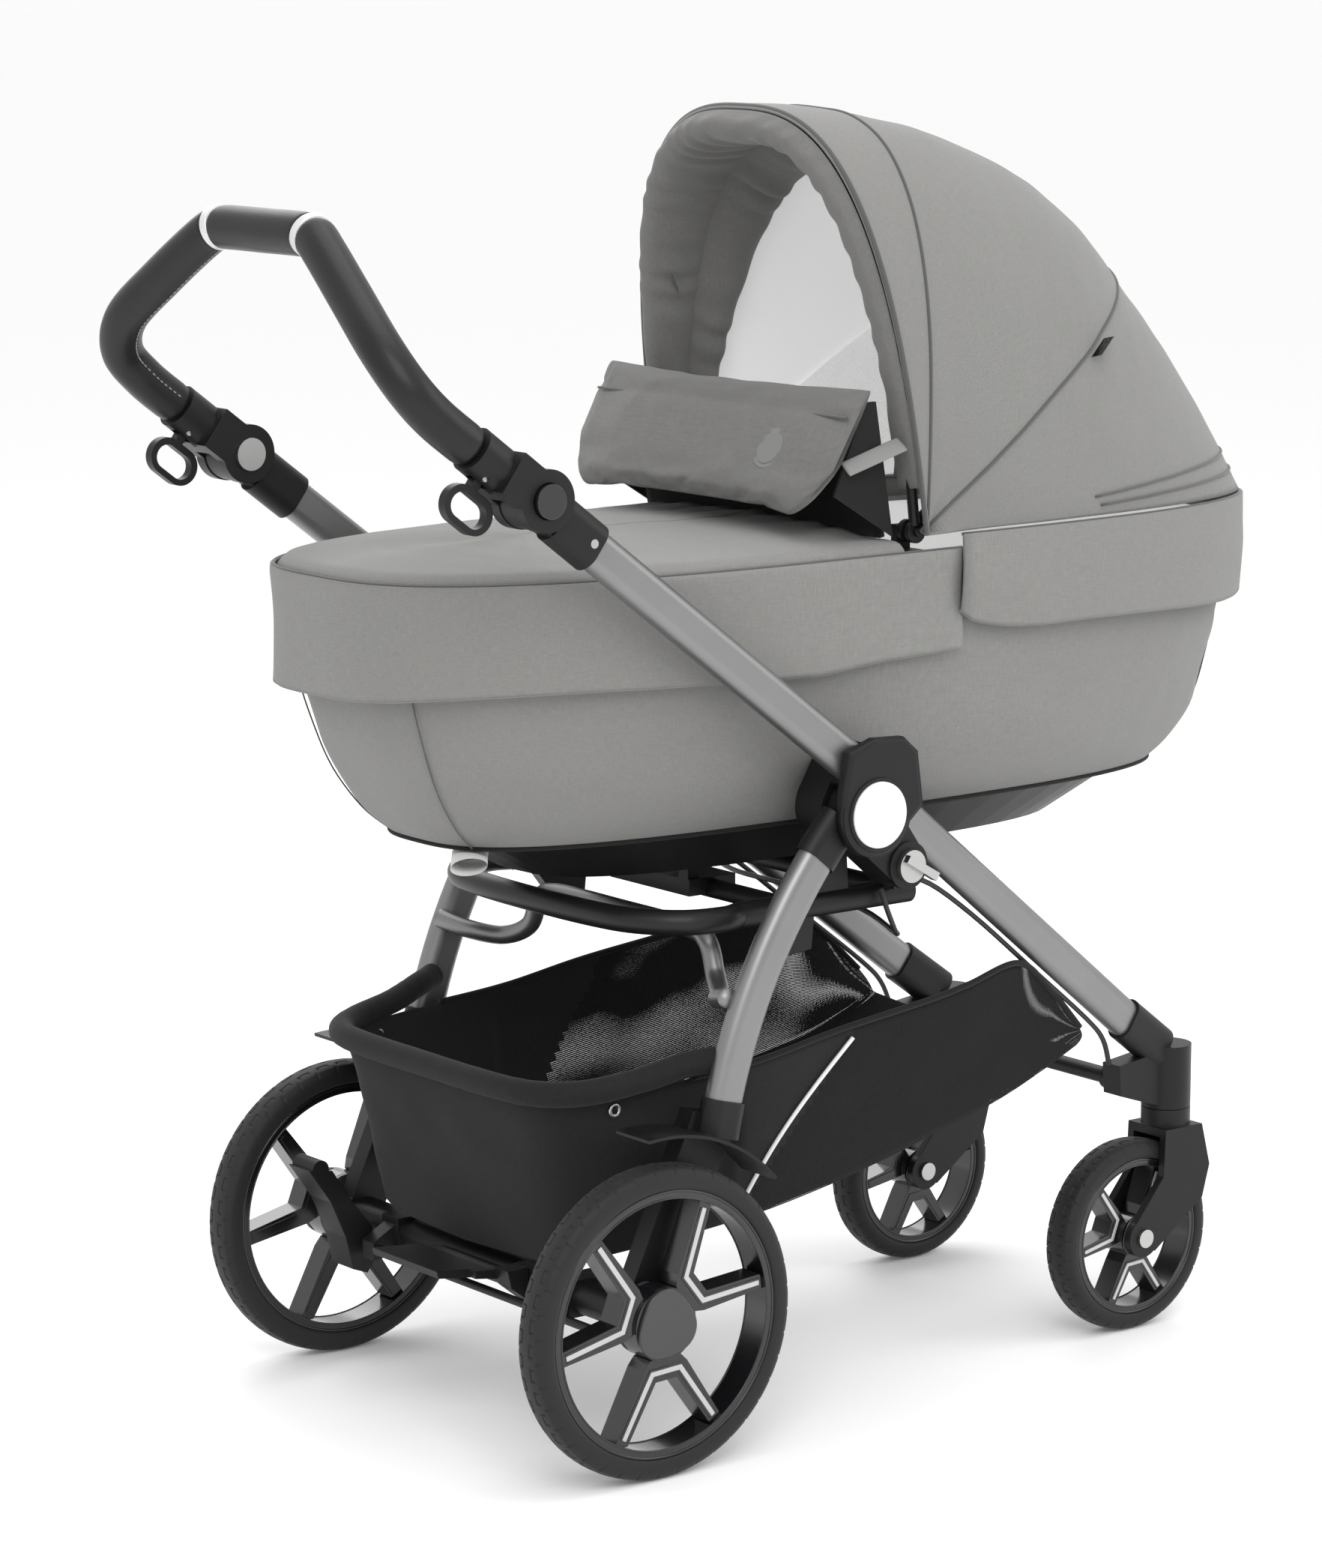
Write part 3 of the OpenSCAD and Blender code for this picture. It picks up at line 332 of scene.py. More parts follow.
    def solid(self, f: Finish) -> bpy.types.Material:
        """The material of a solid finish.

        Args:
            f: The finish.

        Returns:
            The material, made once and shared.
        """
        if f.name in self.made:
            return self.made[f.name]
        mat, tree, bsdf, _ = self._start(f.name)
        bsdf.inputs["Metallic"].default_value = f.metal
        bsdf.inputs["Specular IOR Level"].default_value = f.spec
        bsdf.inputs["Coat Weight"].default_value = f.coat
        bsdf.inputs["Coat Roughness"].default_value = 0.15
        bsdf.inputs["Sheen Weight"].default_value = f.sheen
        where = tree.nodes.new("ShaderNodeTexCoord")
        grain = tree.nodes.new("ShaderNodeGroup")
        grain.node_tree = self.grain
        grain.inputs["Scale"].default_value = f.grain_scale
        tree.links.new(where.outputs["Object"], grain.inputs["Vector"])
        ramp = tree.nodes.new("ShaderNodeMapRange")
        ramp.inputs["To Min"].default_value = max(f.rough - 0.06, 0.02)
        ramp.inputs["To Max"].default_value = f.rough + 0.08
        tree.links.new(grain.outputs["Tone"], ramp.inputs["Value"])
        tree.links.new(ramp.outputs[0], bsdf.inputs["Roughness"])
        colour = tree.nodes.new("ShaderNodeMix")
        colour.data_type = "RGBA"
        colour.inputs["A"].default_value = (*[c * 0.9 for c in f.colour], 1)
        colour.inputs["B"].default_value = (*[min(c * 1.1, 1) for c in f.colour], 1)
        tree.links.new(grain.outputs["Tone"], colour.inputs["Factor"])
        tree.links.new(colour.outputs["Result"], bsdf.inputs["Base Color"])
        normal = None
        if f.edge:
            edge = tree.nodes.new("ShaderNodeBevel")
            edge.samples = 4
            edge.inputs["Radius"].default_value = f.edge
            normal = edge.outputs[0]
        if f.grain:
            bump = tree.nodes.new("ShaderNodeBump")
            bump.inputs["Distance"].default_value = f.grain
            bump.inputs["Strength"].default_value = 1.0
            tree.links.new(grain.outputs["Height"], bump.inputs["Height"])
            if normal:
                tree.links.new(normal, bump.inputs["Normal"])
            normal = bump.outputs[0]
        if normal:
            tree.links.new(normal, bsdf.inputs["Normal"])
        self.made[f.name] = mat
        return mat

    def cloth(self, c: Cloth) -> bpy.types.Material:
        """The material of a woven finish, laid by the piece's UV in metres.

        Args:
            c: The cloth.

        Returns:
            The material, made once and shared.
        """
        if c.name in self.made:
            return self.made[c.name]
        mat, tree, bsdf, out = self._start(c.name)
        bsdf.inputs["Roughness"].default_value = 0.88
        bsdf.inputs["Sheen Weight"].default_value = c.sheen
        bsdf.inputs["Specular IOR Level"].default_value = 0.25
        # Painted light: the cloth glows by emission in its light thread colour, at its glow share.
        bsdf.inputs["Emission Color"].default_value = (*c.light, 1)
        bsdf.inputs["Emission Strength"].default_value = c.glow
        bsdf.inputs["Sheen Roughness"].default_value = 0.5
        where = tree.nodes.new("ShaderNodeUVMap")
        weave = tree.nodes.new("ShaderNodeGroup")
        weave.node_tree = self.weave
        weave.inputs["Threads"].default_value = c.threads
        tree.links.new(where.outputs[0], weave.inputs["Vector"])
        colour = tree.nodes.new("ShaderNodeMix")
        colour.data_type = "RGBA"
        colour.inputs["A"].default_value = (*c.dark, 1)
        colour.inputs["B"].default_value = (*c.light, 1)
        tree.links.new(weave.outputs["Tone"], colour.inputs["Factor"])
        tree.links.new(colour.outputs["Result"], bsdf.inputs["Base Color"])
        bump = tree.nodes.new("ShaderNodeBump")
        bump.inputs["Distance"].default_value = c.height
        bump.inputs["Strength"].default_value = 0.8
        tree.links.new(weave.outputs["Height"], bump.inputs["Height"])
        tree.links.new(bump.outputs[0], bsdf.inputs["Normal"])
        if c.clear:
            gap = self._math(tree, "LESS_THAN", weave.outputs["Stripe"], c.clear)
            clear = tree.nodes.new("ShaderNodeBsdfTransparent")
            mix = tree.nodes.new("ShaderNodeMixShader")
            tree.links.new(gap, mix.inputs[0])
            tree.links.new(bsdf.outputs[0], mix.inputs[1])
            tree.links.new(clear.outputs[0], mix.inputs[2])
            # Adds the shown object's corners to a dict of sizes.
            tree.links.new(mix.outputs[0], out.inputs[0])
        self.made[c.name] = mat
        return mat

    def of(self, key: str) -> bpy.types.Material:
        """found: What was noted before; the corners are added to it."""
        return self.cloth(CLOTHS[key]) if key in CLOTHS else self.solid(FINISHES[key])


# ---- Shapes ------------------------------------------------------------------------------------


def smooth_path(points: Sequence[Vector], steps: int, closed: bool = False) -> list[Vector]:
    """A Catmull-Rom curve through the points.

    Args:
        points: Points the curve passes through.
        steps: Steps per span.
        closed: Whether the last point joins the first.

    Returns:
        The points along the curve.
    """
    n = len(points)
    out = []
    spans = n if closed else n - 1
    for i in range(spans):
        if closed:
            a, b, c, d = points[i - 1], points[i], points[(i + 1) % n], points[(i + 2) % n]
        else:
            a, b, c, d = points[max(i - 1, 0)], points[i], points[i + 1], points[min(i + 2, n - 1)]
        for k in range(steps):
            t = k / steps
            out.append(
                0.5 * (2 * b + (c - a) * t + (2 * a - 5 * b + 4 * c - d) * t * t + (3 * b - a - 3 * c + d) * t**3)
            )
    if not closed:
        out.append(points[-1].copy())
    return out


def _object(name: str, bm: bmesh.types.BMesh, materials: Sequence[bpy.types.Material], shade: bool = True):
    """Turns a bmesh into a linked object at the origin, normals outward.

    Args:
        name: Piece name.
        bm: The bmesh, freed afterwards.
        materials: Material slots in order.
        shade: Whether faces are shaded smooth.

    Returns:
        The object.
    """
    bmesh.ops.recalc_face_normals(bm, faces=bm.faces)
    for f in bm.faces:
        f.smooth = shade
    mesh = bpy.data.meshes.new(name)
    bm.to_mesh(mesh)
    bm.free()
    obj = bpy.data.objects.new(name, mesh)
    bpy.context.scene.collection.objects.link(obj)
    for m in materials:
        mesh.materials.append(m)
    return obj


def surface(
    name: str,
    place: Callable[[float, float], Vector],
    size: tuple[int, int],
    flat: tuple[float, float],
    materials: Sequence[bpy.types.Material],
    thick: float = 0.0,
    wrap: bool = False,
    pick: Callable[[Vector], int] | None = None,
):
    """A cloth surface from a placing function.

    Args:
        name: Piece name.
        place: Position in mm for u and v from 0 to 1.
        size: Steps along u and v.
        flat: Real length along u and v in metres, for the weave.
        materials: Material slots.
        thick: Thickness in metres laid on the inner side, 0 for none.
        wrap: Whether u = 1 meets u = 0.
        pick: Material index for a face centre in mm.

    Returns:
        The object.
    """
    bm = bmesh.new()
    uv = bm.loops.layers.uv.new("UVMap")
    bmesh.ops.create_grid(bm, x_segments=size[0], y_segments=size[1], size=1.0)
    for f in bm.faces:
        for loop in f.loops:
            co = loop.vert.co
            loop[uv].uv = ((co.x + 1) / 2 * flat[0], (co.y + 1) / 2 * flat[1])
    for v in bm.verts:
        v.co = place((v.co.x + 1) / 2, (v.co.y + 1) / 2) * MM
    if wrap:
        bmesh.ops.remove_doubles(bm, verts=bm.verts, dist=2e-5)
    bmesh.ops.dissolve_degenerate(bm, dist=1e-6, edges=bm.edges)
    bmesh.ops.recalc_face_normals(bm, faces=bm.faces)
    if thick:
        bmesh.ops.solidify(bm, geom=bm.faces[:], thickness=thick)
    if pick:
        for f in bm.faces:
            f.material_index = pick(f.calc_center_median() / MM)
    return _object(name, bm, materials)


def tube(name: str, path: Sequence[Vector], radius, material, sides: int = 20, closed: bool = False, flatten: float = 1.0):
    """A round or flattened tube along a path.

    Args:
        name: Piece name.
        path: Points in mm.
        radius: Radius in mm, or a function of the share along the path.
        material: The material.
        sides: Sides of the section.
        closed: Whether the ends join.
        flatten: Second radius as a share of the first.

    Returns:
        The object.
    """
    n = len(path)
    tangents = []
    for i in range(n):
        a = path[i - 1] if closed or i else path[0]
        b = path[(i + 1) % n] if closed else path[min(i + 1, n - 1)]
        tangents.append((b - a).normalized())
    side = tangents[0].orthogonal().normalized()
    bm = bmesh.new()
    uv = bm.loops.layers.uv.new("UVMap")
    rings, length = [], [0.0]
    for i in range(n):
        t = tangents[i]
        side = (side - side.dot(t) * t).normalized()
        other = t.cross(side)
        r = radius(i / (n - 1)) if callable(radius) else radius
        rings.append(
            [
                bm.verts.new((path[i] + r * (math.cos(TAU * k / sides) * side + flatten * math.sin(TAU * k / sides) * other)) * MM)
                for k in range(sides)
            ]
        )
        length.append(length[-1] + (path[i] - path[max(i - 1, 0)]).length * MM)
    last = n if closed else n - 1
    around = TAU * (radius(0.5) if callable(radius) else radius) * MM
    for i in range(last):
        a, b = rings[i], rings[(i + 1) % n]
        for k in range(sides):
            m = (k + 1) % sides
            f = bm.faces.new((a[k], a[m], b[m], b[k]))
            for loop, (p, q) in zip(f.loops, ((i, k), (i, k + 1), (i + 1, k + 1), (i + 1, k))):
                loop[uv].uv = (length[p + 1] if p + 1 < len(length) else length[-1], q / sides * around)
    if not closed:
        for ring in (rings[0], rings[-1]):
            cap = bm.faces.new(ring)
            bmesh.ops.poke(bm, faces=[cap])
    return _object(name, bm, [material])


def plate(name: str, outlines: Sequence[Sequence[tuple[float, float]]], y0: float, y1: float, bevel: float, material):
    """A flat plate in XZ with its far edge bevelled.

    Args:
        name: Piece name.
        outlines: Closed outlines as (x, z) in mm.
        y0: Back face in mm.
        y1: Front face in mm; the bevel is here.
        bevel: Bevel width in mm.
        material: The material.

    Returns:
        The object.
    """
    bm = bmesh.new()
    for outline in outlines:
        face = bm.faces.new([bm.verts.new((x * MM, y0 * MM, z * MM)) for x, z in outline])
        out = bmesh.ops.extrude_face_region(bm, geom=[face])
        verts = [g for g in out["geom"] if isinstance(g, bmesh.types.BMVert)]
        bmesh.ops.translate(bm, verts=verts, vec=(0, (y1 - y0) * MM, 0))
        top = [g for g in out["geom"] if isinstance(g, bmesh.types.BMFace)]
        edges = [e for f in top for e in f.edges]
        if bevel:
            bmesh.ops.bevel(
                bm, geom=edges, offset=bevel * MM, segments=4, profile=0.5, affect="EDGES", material=-1, clamp_overlap=True
            )
    obj = _object(name, bm, [material], shade=False)
    for p in obj.data.polygons:
        p.use_smooth = p.area < 4e-5
    return obj


def wobble(p: Vector, size: float, height: float) -> float:
    """Slow random height in mm for a point in mm, with features of that size in mm."""
    return height * noise.noise(p / size)


def superellipse(x0: float, x1: float, hw: float, a: float, power: float = 0.66) -> tuple[float, float]:
    """A point of the cot's plan outline at angle a."""
    c, s = math.cos(a), math.sin(a)
    return (
        (x0 + x1) / 2 + (x1 - x0) / 2 * math.copysign(abs(c) ** power, c),
        hw * math.copysign(abs(s) ** power, s),
    )


def lerp_rows(rows: Sequence[tuple[float, ...]], t: float) -> list[float]:
    """Smooth interpolation through rows, t from 0 to 1 over the rows."""
    n = len(rows) - 1
    x = min(max(t, 0), 1) * n
    i = min(int(x), n - 1)
    f = x - i
    a, b, c, d = rows[max(i - 1, 0)], rows[i], rows[i + 1], rows[min(i + 2, n)]
    return [
        0.5 * (2 * q + (r - p) * f + (2 * p - 5 * q + 4 * r - s) * f * f + (3 * q - p - 3 * r + s) * f**3)
        for p, q, r, s in zip(a, b, c, d)
    ]


def keep(obj, body: str, slot: str, *nodes: str):
    """Fixes a finished piece to its body and lets it stand for CAD nodes.

    Args:
        obj: The piece.
        body: CAD body it rides on.
        slot: Material slot of the record; not used.
        nodes: CAD nodes it replaces.

    Returns:
        The piece.
    """
    if nodes:
        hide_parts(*nodes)
    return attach(obj, body)


def hooded(obj, slot: str, *nodes: str):
    """Hides the CAD nodes a hood piece stands for, and bakes the piece in place without a body."""
    if nodes:
        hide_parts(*nodes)
    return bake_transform(obj)


def puff(obj, held: Callable[[Vector], bool], pressure: float = 4.0, cap: float = 9.0) -> None:
    """Puffs a closed padded piece by a short cloth simulation, then keeps the result.

    Args:
        obj: Closed mesh in place.
        held: Whether a point in mm stays where it is.
        pressure: Air pressure inside.
        cap: Largest allowed move in mm.
    """
    rest = [v.co.copy() for v in obj.data.vertices]
    pins = obj.vertex_groups.new(name="held")
    for v in obj.data.vertices:
        if held(v.co / MM):
            pins.add([v.index], 1.0, "REPLACE")
    mod = obj.modifiers.new("puff", "CLOTH")
    s = mod.settings
    s.quality = 5
    s.mass = 0.2
    s.use_pressure = True
    s.uniform_pressure_force = pressure
    s.tension_stiffness = s.compression_stiffness = 20
    s.shear_stiffness = 8
    s.bending_stiffness = 0.6
    s.vertex_group_mass = "held"
    s.effector_weights.gravity = 0
    mod.collision_settings.use_collision = False
    mod.collision_settings.use_self_collision = False
    scene = bpy.context.scene
    mod.point_cache.frame_start, mod.point_cache.frame_end = 1, 20
    for f in range(1, 21):
        scene.frame_set(f)
    dg = bpy.context.evaluated_depsgraph_get()
    done = [v.co.copy() for v in obj.evaluated_get(dg).data.vertices]
    obj.modifiers.remove(mod)
    obj.vertex_groups.remove(pins)
    scene.frame_set(1)
    for v, a, b in zip(obj.data.vertices, rest, done):
        d = b - a
        if d.length > cap * MM:
            d *= cap * MM / d.length
        v.co = a + d
    obj.data.update()


# ---- Wheels --------------------------------------------------------------------------------------


@dataclass
class Wheel:
    """One wheel: a tyre with moulded tread, spoke inlays and a cap.

    Attributes:
        body: CAD body it turns with.
        tyre_node: CAD tyre it replaces.
        centre: Wheel centre in mm.
        outer: Tyre radius in mm.
        seat: Rim radius in mm.
        half_w: Half the tyre's width in mm.
        flat_r: Distance of the spokes' flats from the axle in mm.
        spoke_w: Spoke width in mm.
        out: Which way the outer side faces along Y.
    """

    shaders: Shaders
    name: str
    body: str
    tyre_node: str
    cap_node: str | None
    centre: Vector
    outer: float
    seat: float
    half_w: float
    flat_r: float
    spoke_w: float
    wall: float
    out: int
    blocks: int
    V_ANGLES: tuple[float, ...] = (273.0, 159.0, 38.0)

    def build(self) -> None:
        """Makes every piece of the wheel."""
        self._tyre()
        for face in (1, -1):
            self._inlays(face)
        self._rim_lips()
        self._cap()

    def _tyre(self) -> None:
        w, r0, r1 = self.half_w, self.seat + 0.2, self.outer
        crown = [(-w + 0.8, r0), (-w, r0 + 3), (-w, r1 - 9), (-w + 1.0, r1 - 6.0), (-w + 3.2, r1 - 3.2)]
        inner = [(y, r1 - 2.6 * (abs(y) / (w - 3.2)) ** 2.4) for y in [(-w + 4.2) + i * (2 * w - 8.4) / 34 for i in range(35)]]
        points = crown + inner + [(-y, r) for y, r in reversed(crown)]
        bm = bmesh.new()
        verts = [bm.verts.new((0, y, r)) for y, r in points]
        edges = [bm.edges.new((a, b)) for a, b in zip(verts, verts[1:])]
        edges.append(bm.edges.new((verts[-1], verts[0])))
        steps = self.blocks * 18
        bmesh.ops.spin(
            bm, geom=verts + edges, cent=(0, 0, 0), axis=(0, 1, 0), dvec=(0, 0, 0), angle=TAU, steps=steps, use_merge=True, use_duplicate=False
        )
        bmesh.ops.remove_doubles(bm, verts=bm.verts, dist=0.01)
        for v in bm.verts:
            r = math.hypot(v.co.x, v.co.z)
            if r < r0 + 4:
                continue
            s = (math.atan2(v.co.z, v.co.x) / TAU * self.blocks) % 1.0 * 18
            depth = self._groove(s, v.co.y, r)
            if depth:
                k = (r - depth) / r
                v.co.x *= k
                v.co.z *= k
        bmesh.ops.scale(bm, verts=bm.verts, vec=(MM, MM, MM))
        bmesh.ops.translate(bm, verts=bm.verts, vec=self.centre * MM)
        obj = _object(f"{self.name}_tread", bm, [self.shaders.of("tyre")])
        keep(obj, self.body, "tyre", self.tyre_node)

    def _groove(self, s: float, y: float, r: float) -> float:
        """Depth in mm of the tread at share s of a block (0 to 18) and lateral place y."""
        depth = 1.4
        for sign, shift in ((1, 0.0), (-1, 9.0)):
            t, q = (s + shift) % 18, sign * y
            edge = self.half_w
            if q > edge - 5.2 and r > self.outer - 7 and t < 1.2:
                return depth
            if edge - 12.5 < q < edge - 7.4 and (abs(t - 5) < 0.6 or abs(t - 14) < 0.6):
                return depth
            if abs(q - (edge - 12.2)) < 0.55 and 5 <= t <= 14:
                return depth
        return 0.0

    def _strip(self, path: Sequence[tuple[float, float]], width: float) -> list[tuple[float, float]]:
        """The outline of a strip of even width along an open path."""
        left, right = [], []
        for i, p in enumerate(path):
            a = Vector(path[max(i - 1, 0)])
            b = Vector(path[min(i + 1, len(path) - 1)])
            if 0 < i < len(path) - 1:
                d1 = (Vector(p) - a).normalized()
                d2 = (b - Vector(p)).normalized()
                n = Vector((-(d1 + d2).y, (d1 + d2).x)).normalized()
                k = width / 2 / max(n.dot(Vector((-d1.y, d1.x))), 0.4)
            else:
                d = (b - a).normalized()
                n, k = Vector((-d.y, d.x)), width / 2
            left.append(tuple(Vector(p) + n * k))
            right.append(tuple(Vector(p) - n * k))
        return left + right[::-1]

    def _inlays(self, face: int) -> None:
        cos31, sin31 = math.cos(math.radians(31)), math.sin(math.radians(31))
        rho = self.seat - self.wall - 2.0
        x_out, y_out = cos31 * rho, sin31 * rho - self.spoke_w / 2
        x_in, y_in = self.flat_r + self.spoke_w * 0.44, self.flat_r * 0.43
        path = [(x_out, y_out), (x_in, y_in), (x_in, -y_in), (x_out, -y_out)]
        depth = self.half_w - 5
        for part, width, rise, key in (("rail", 9.0, 0.6, "rim_black"), ("inlay", 4.6, 1.1, "inlay")):
            if face != self.out and part == "inlay":
                continue
            outlines = []
            for a in self.V_ANGLES:
                c, s = math.cos(math.radians(a)), math.sin(math.radians(a))
                line = self._strip(path, width * self.spoke_w / 15)
                outlines.append(
                    [(self.centre.x + c * x - s * z, self.centre.z + s * x + c * z) for x, z in line]
                )
            y = self.centre.y + face * depth
            obj = plate(f"{self.name}_{part}_{'out' if face == self.out else 'in'}", outlines, y, y + face * rise, 0.4, self.shaders.of(key))
            keep(obj, self.body, "rim_black")

    def _rim_lips(self) -> None:
        for i, (r, thick) in enumerate(((self.seat - 1.6, 1.3), (self.seat - self.wall + 0.2, 1.0))):
            for face in (1, -1):
                y = self.centre.y + face * (self.half_w - 2.2)
                ring = [
                    Vector((self.centre.x + r * math.cos(TAU * k / 96), y, self.centre.z + r * math.sin(TAU * k / 96)))
                    for k in range(96)
                ]
                obj = tube(f"{self.name}_lip_{i}_{'l' if face > 0 else 'r'}", ring, thick, self.shaders.of("rim_black"), 10, closed=True)
                keep(obj, self.body, "rim_black")

    def _cap(self) -> None:
        size = self.flat_r - 5.0
        for face in (1, -1):
            outline = []
            for k in range(72):
                a = TAU * k / 72
                r = size - size * 0.075 * math.cos(3 * (a - math.radians(self.V_ANGLES[2])))
                outline.append((self.centre.x + r * math.cos(a), self.centre.z + r * math.sin(a)))
            base = self.centre.y + face * (self.half_w - 7)
            tip = self.centre.y + face * (self.half_w + (1.4 if self.cap_node and face == self.out else -1.0))
            nodes = [self.cap_node] if self.cap_node and face == self.out else []
            obj = plate(f"{self.name}_cap_{'out' if face == self.out else 'in'}", [outline], base, tip, 1.6, self.shaders.of("cap_grey"))
            keep(obj, self.body, "cap_grey", *nodes)


# ---- Handle --------------------------------------------------------------------------------------


@dataclass
class HandleBar:
    """The padded handle bar: stitched grips, centre grip and rings."""

    shaders: Shaders
    body: str = "handle_bar"
    path: list[Vector] = field(default_factory=list)

    @staticmethod
    def on_line(s: float, y: float) -> Vector:
        """A point of the tube line at distance s from the hub."""
        return HUB + s * HANDLE_DIR + HANDLE_OFFSET * HANDLE_UP + Vector((0, y, 0))

    def build(self) -> None:
        """Makes the handle's pieces."""
        start = self.on_line(552, SIDE_Y - 1)
        steps = [(0, 0, 0), (-34, -1, 26), (-58, -5, 52), (-68, -30, 84), (-62, -80, 121), (-54, -130, 155), (-50, -152, 167), (-49, -172, 169), (-49, -228, 169)]
        half = smooth_path([self.on_line(522, SIDE_Y)] + [start + Vector(p) for p in steps], 10)
        leather = self.shaders.of("leatherette")
        for side in Side:
            line = [Vector((p.x, side.value * p.y, p.z)) for p in half]
            grip = tube(f"grip_{side.word}", line[10:71], self._grip_radius, leather, 32)
            keep(grip, self.body, "leatherette", *(["handle_grips"] if side is Side.LEFT else []))
            self._seam(line[12:70], side)
            ring_dir = (line[71] - line[70]).normalized()
            a = line[70] + 0.2 * ring_dir
            ring = tube(f"grip_ring_{side.word}", [a + ring_dir * d for d in (0, 0.6, 1.4, 7.2, 8.0, 8.6)], lambda t: 19.6 if 0.1 < t < 0.9 else 18.9, self.shaders.of("ring_pale"), 32)
            keep(ring, self.body, "ring_pale", *(["grip_rings"] if side is Side.LEFT else []))
        middle = half[76:] + [Vector((p.x, -p.y, p.z)) for p in reversed(half[76:-1])]
        keep(tube("grip_middle", middle, lambda t: 19.2 - 0.7 * abs(2 * t - 1) ** 8, leather, 32), self.body, "leatherette", "centre_grip")

    @staticmethod
    def _grip_radius(t: float) -> float:
        """Grip radius in mm, drawn in at both ends."""
        return 19.0 - 1.1 * max(0.0, 1 - t * 40) - 1.1 * max(0.0, 1 - (1 - t) * 40)

    def _seam(self, line: Sequence[Vector], side: Side) -> None:
        """Short stitches on the inner side of a grip."""
        bm = bmesh.new()
        dense = smooth_path(list(line), 3)
        centre = Vector((-505, 0, 990))
        run, gap = 0.0, 5.0
        for a, b in zip(dense, dense[1:]):
            run += (b - a).length
            if run < gap:
                continue
            run = 0.0
            t = (b - a).normalized()
            inward = centre - a
            inward = (inward - inward.dot(t) * t).normalized()
            p = a + inward * 19.1
            matrix = Matrix.Translation(p * MM) @ t.to_track_quat("Z", "Y").to_matrix().to_4x4()
            bmesh.ops.create_cone(bm, cap_ends=True, segments=6, radius1=0.5 * MM, radius2=0.5 * MM, depth=3.0 * MM, matrix=matrix)
        keep(_object(f"grip_stitches_{side.word}", bm, [self.shaders.of("thread")]), self.body, "leatherette")


# ---- Chassis ---------------------------------------------------------------------------------------


@dataclass
class Chassis:
    """Moulded covers and padding on the folding chassis."""

    shaders: Shaders

    def build(self) -> None:
        """Makes the hub covers, the padded support bar, the cross bar and the rim roll."""
        for side in Side:
            self._hub(side)
        self._bar("support_pad", "support_bar", "chassis", "leatherette", 11.6,
                  [(-141, 172, 472), (-160, 177, 472), (-196, 168, 472), (-226, 134, 472), (-237, 82, 472), (-240, 0, 472)])
        self._bar("cross_tube", "rear_cross_bar", "rear_frame", "tube", 9.0,
                  [(-190, 221, 412), (-176, 190, 404), (-154, 165, 400), (-141, 142, 412), (-139, 128, 440), (-139, 100, 449), (-139, 0, 450)])
        self._bar("basket_roll", "basket_rim_bar", "rear_frame", "cloth_black", 11.5,
                  [(-200, 217.5, 358), (-226, 206, 354), (-262, 196, 345), (-312, 184, 338), (-346, 158, 336), (-360, 110, 336), (-362, 0, 336)])

    def _bar(self, name: str, node: str, body: str, key: str, radius: float, half: Sequence[tuple[float, float, float]]) -> None:
        """A tube mirrored about the middle plane that stands for a CAD bar."""
        points = [Vector(p) for p in half]
        points += [Vector((p.x, -p.y, p.z)) for p in reversed(points[:-1])]
        path = smooth_path(points, 12)
        shape = radius
        if key == "cloth_black":
            shape = lambda t: radius * (1 + 0.05 * math.sin(t * 160) * noise.noise(Vector((t * 30, 0, 0))))
        keep(tube(name, path, shape, self.shaders.of(key), 24), body, key, node)

    def _hub(self, side: Side) -> None:
        ring = [(HUB.x + 39.6 * math.cos(a), HUB.z + 39.6 * math.sin(a)) for a in [math.radians(170 + 172 * k / 28) for k in range(29)]]
        outline = ring + [(8.6, 567), (1.6, 618.4), (-13, 631.8), (-47.6, 633.4), (-76.8, 623.2), (-83.4, 590)]
        black = self.shaders.of("black_plastic")
        s = side.value
        cover = plate(f"hub_cover_{side.word}", [outline], s * 243, s * 253.6, 4.5, black)
        keep(cover, "handle_frame", "black_plastic")
        rim = tube(f"hub_ring_{side.word}", [Vector((HUB.x + 31.6 * math.cos(TAU * k / 72), s * 253.8, HUB.z + 31.6 * math.sin(TAU * k / 72))) for k in range(72)], 1.8, black, 12, closed=True)
        keep(rim, "handle_frame", "black_plastic")
        disc = [(HUB.x + 30 * math.cos(TAU * k / 72), HUB.z + 30 * math.sin(TAU * k / 72)) for k in range(72)]
        face = plate(f"hub_face_{side.word}", [disc], s * 252.2, s * 258.2, 1.6, self.shaders.of("disc_white"))
        keep(face, "handle_frame", "disc_white", *(["hub_discs"] if side is Side.LEFT else []))


# ---- Carrycot ----------------------------------------------------------------------------------------


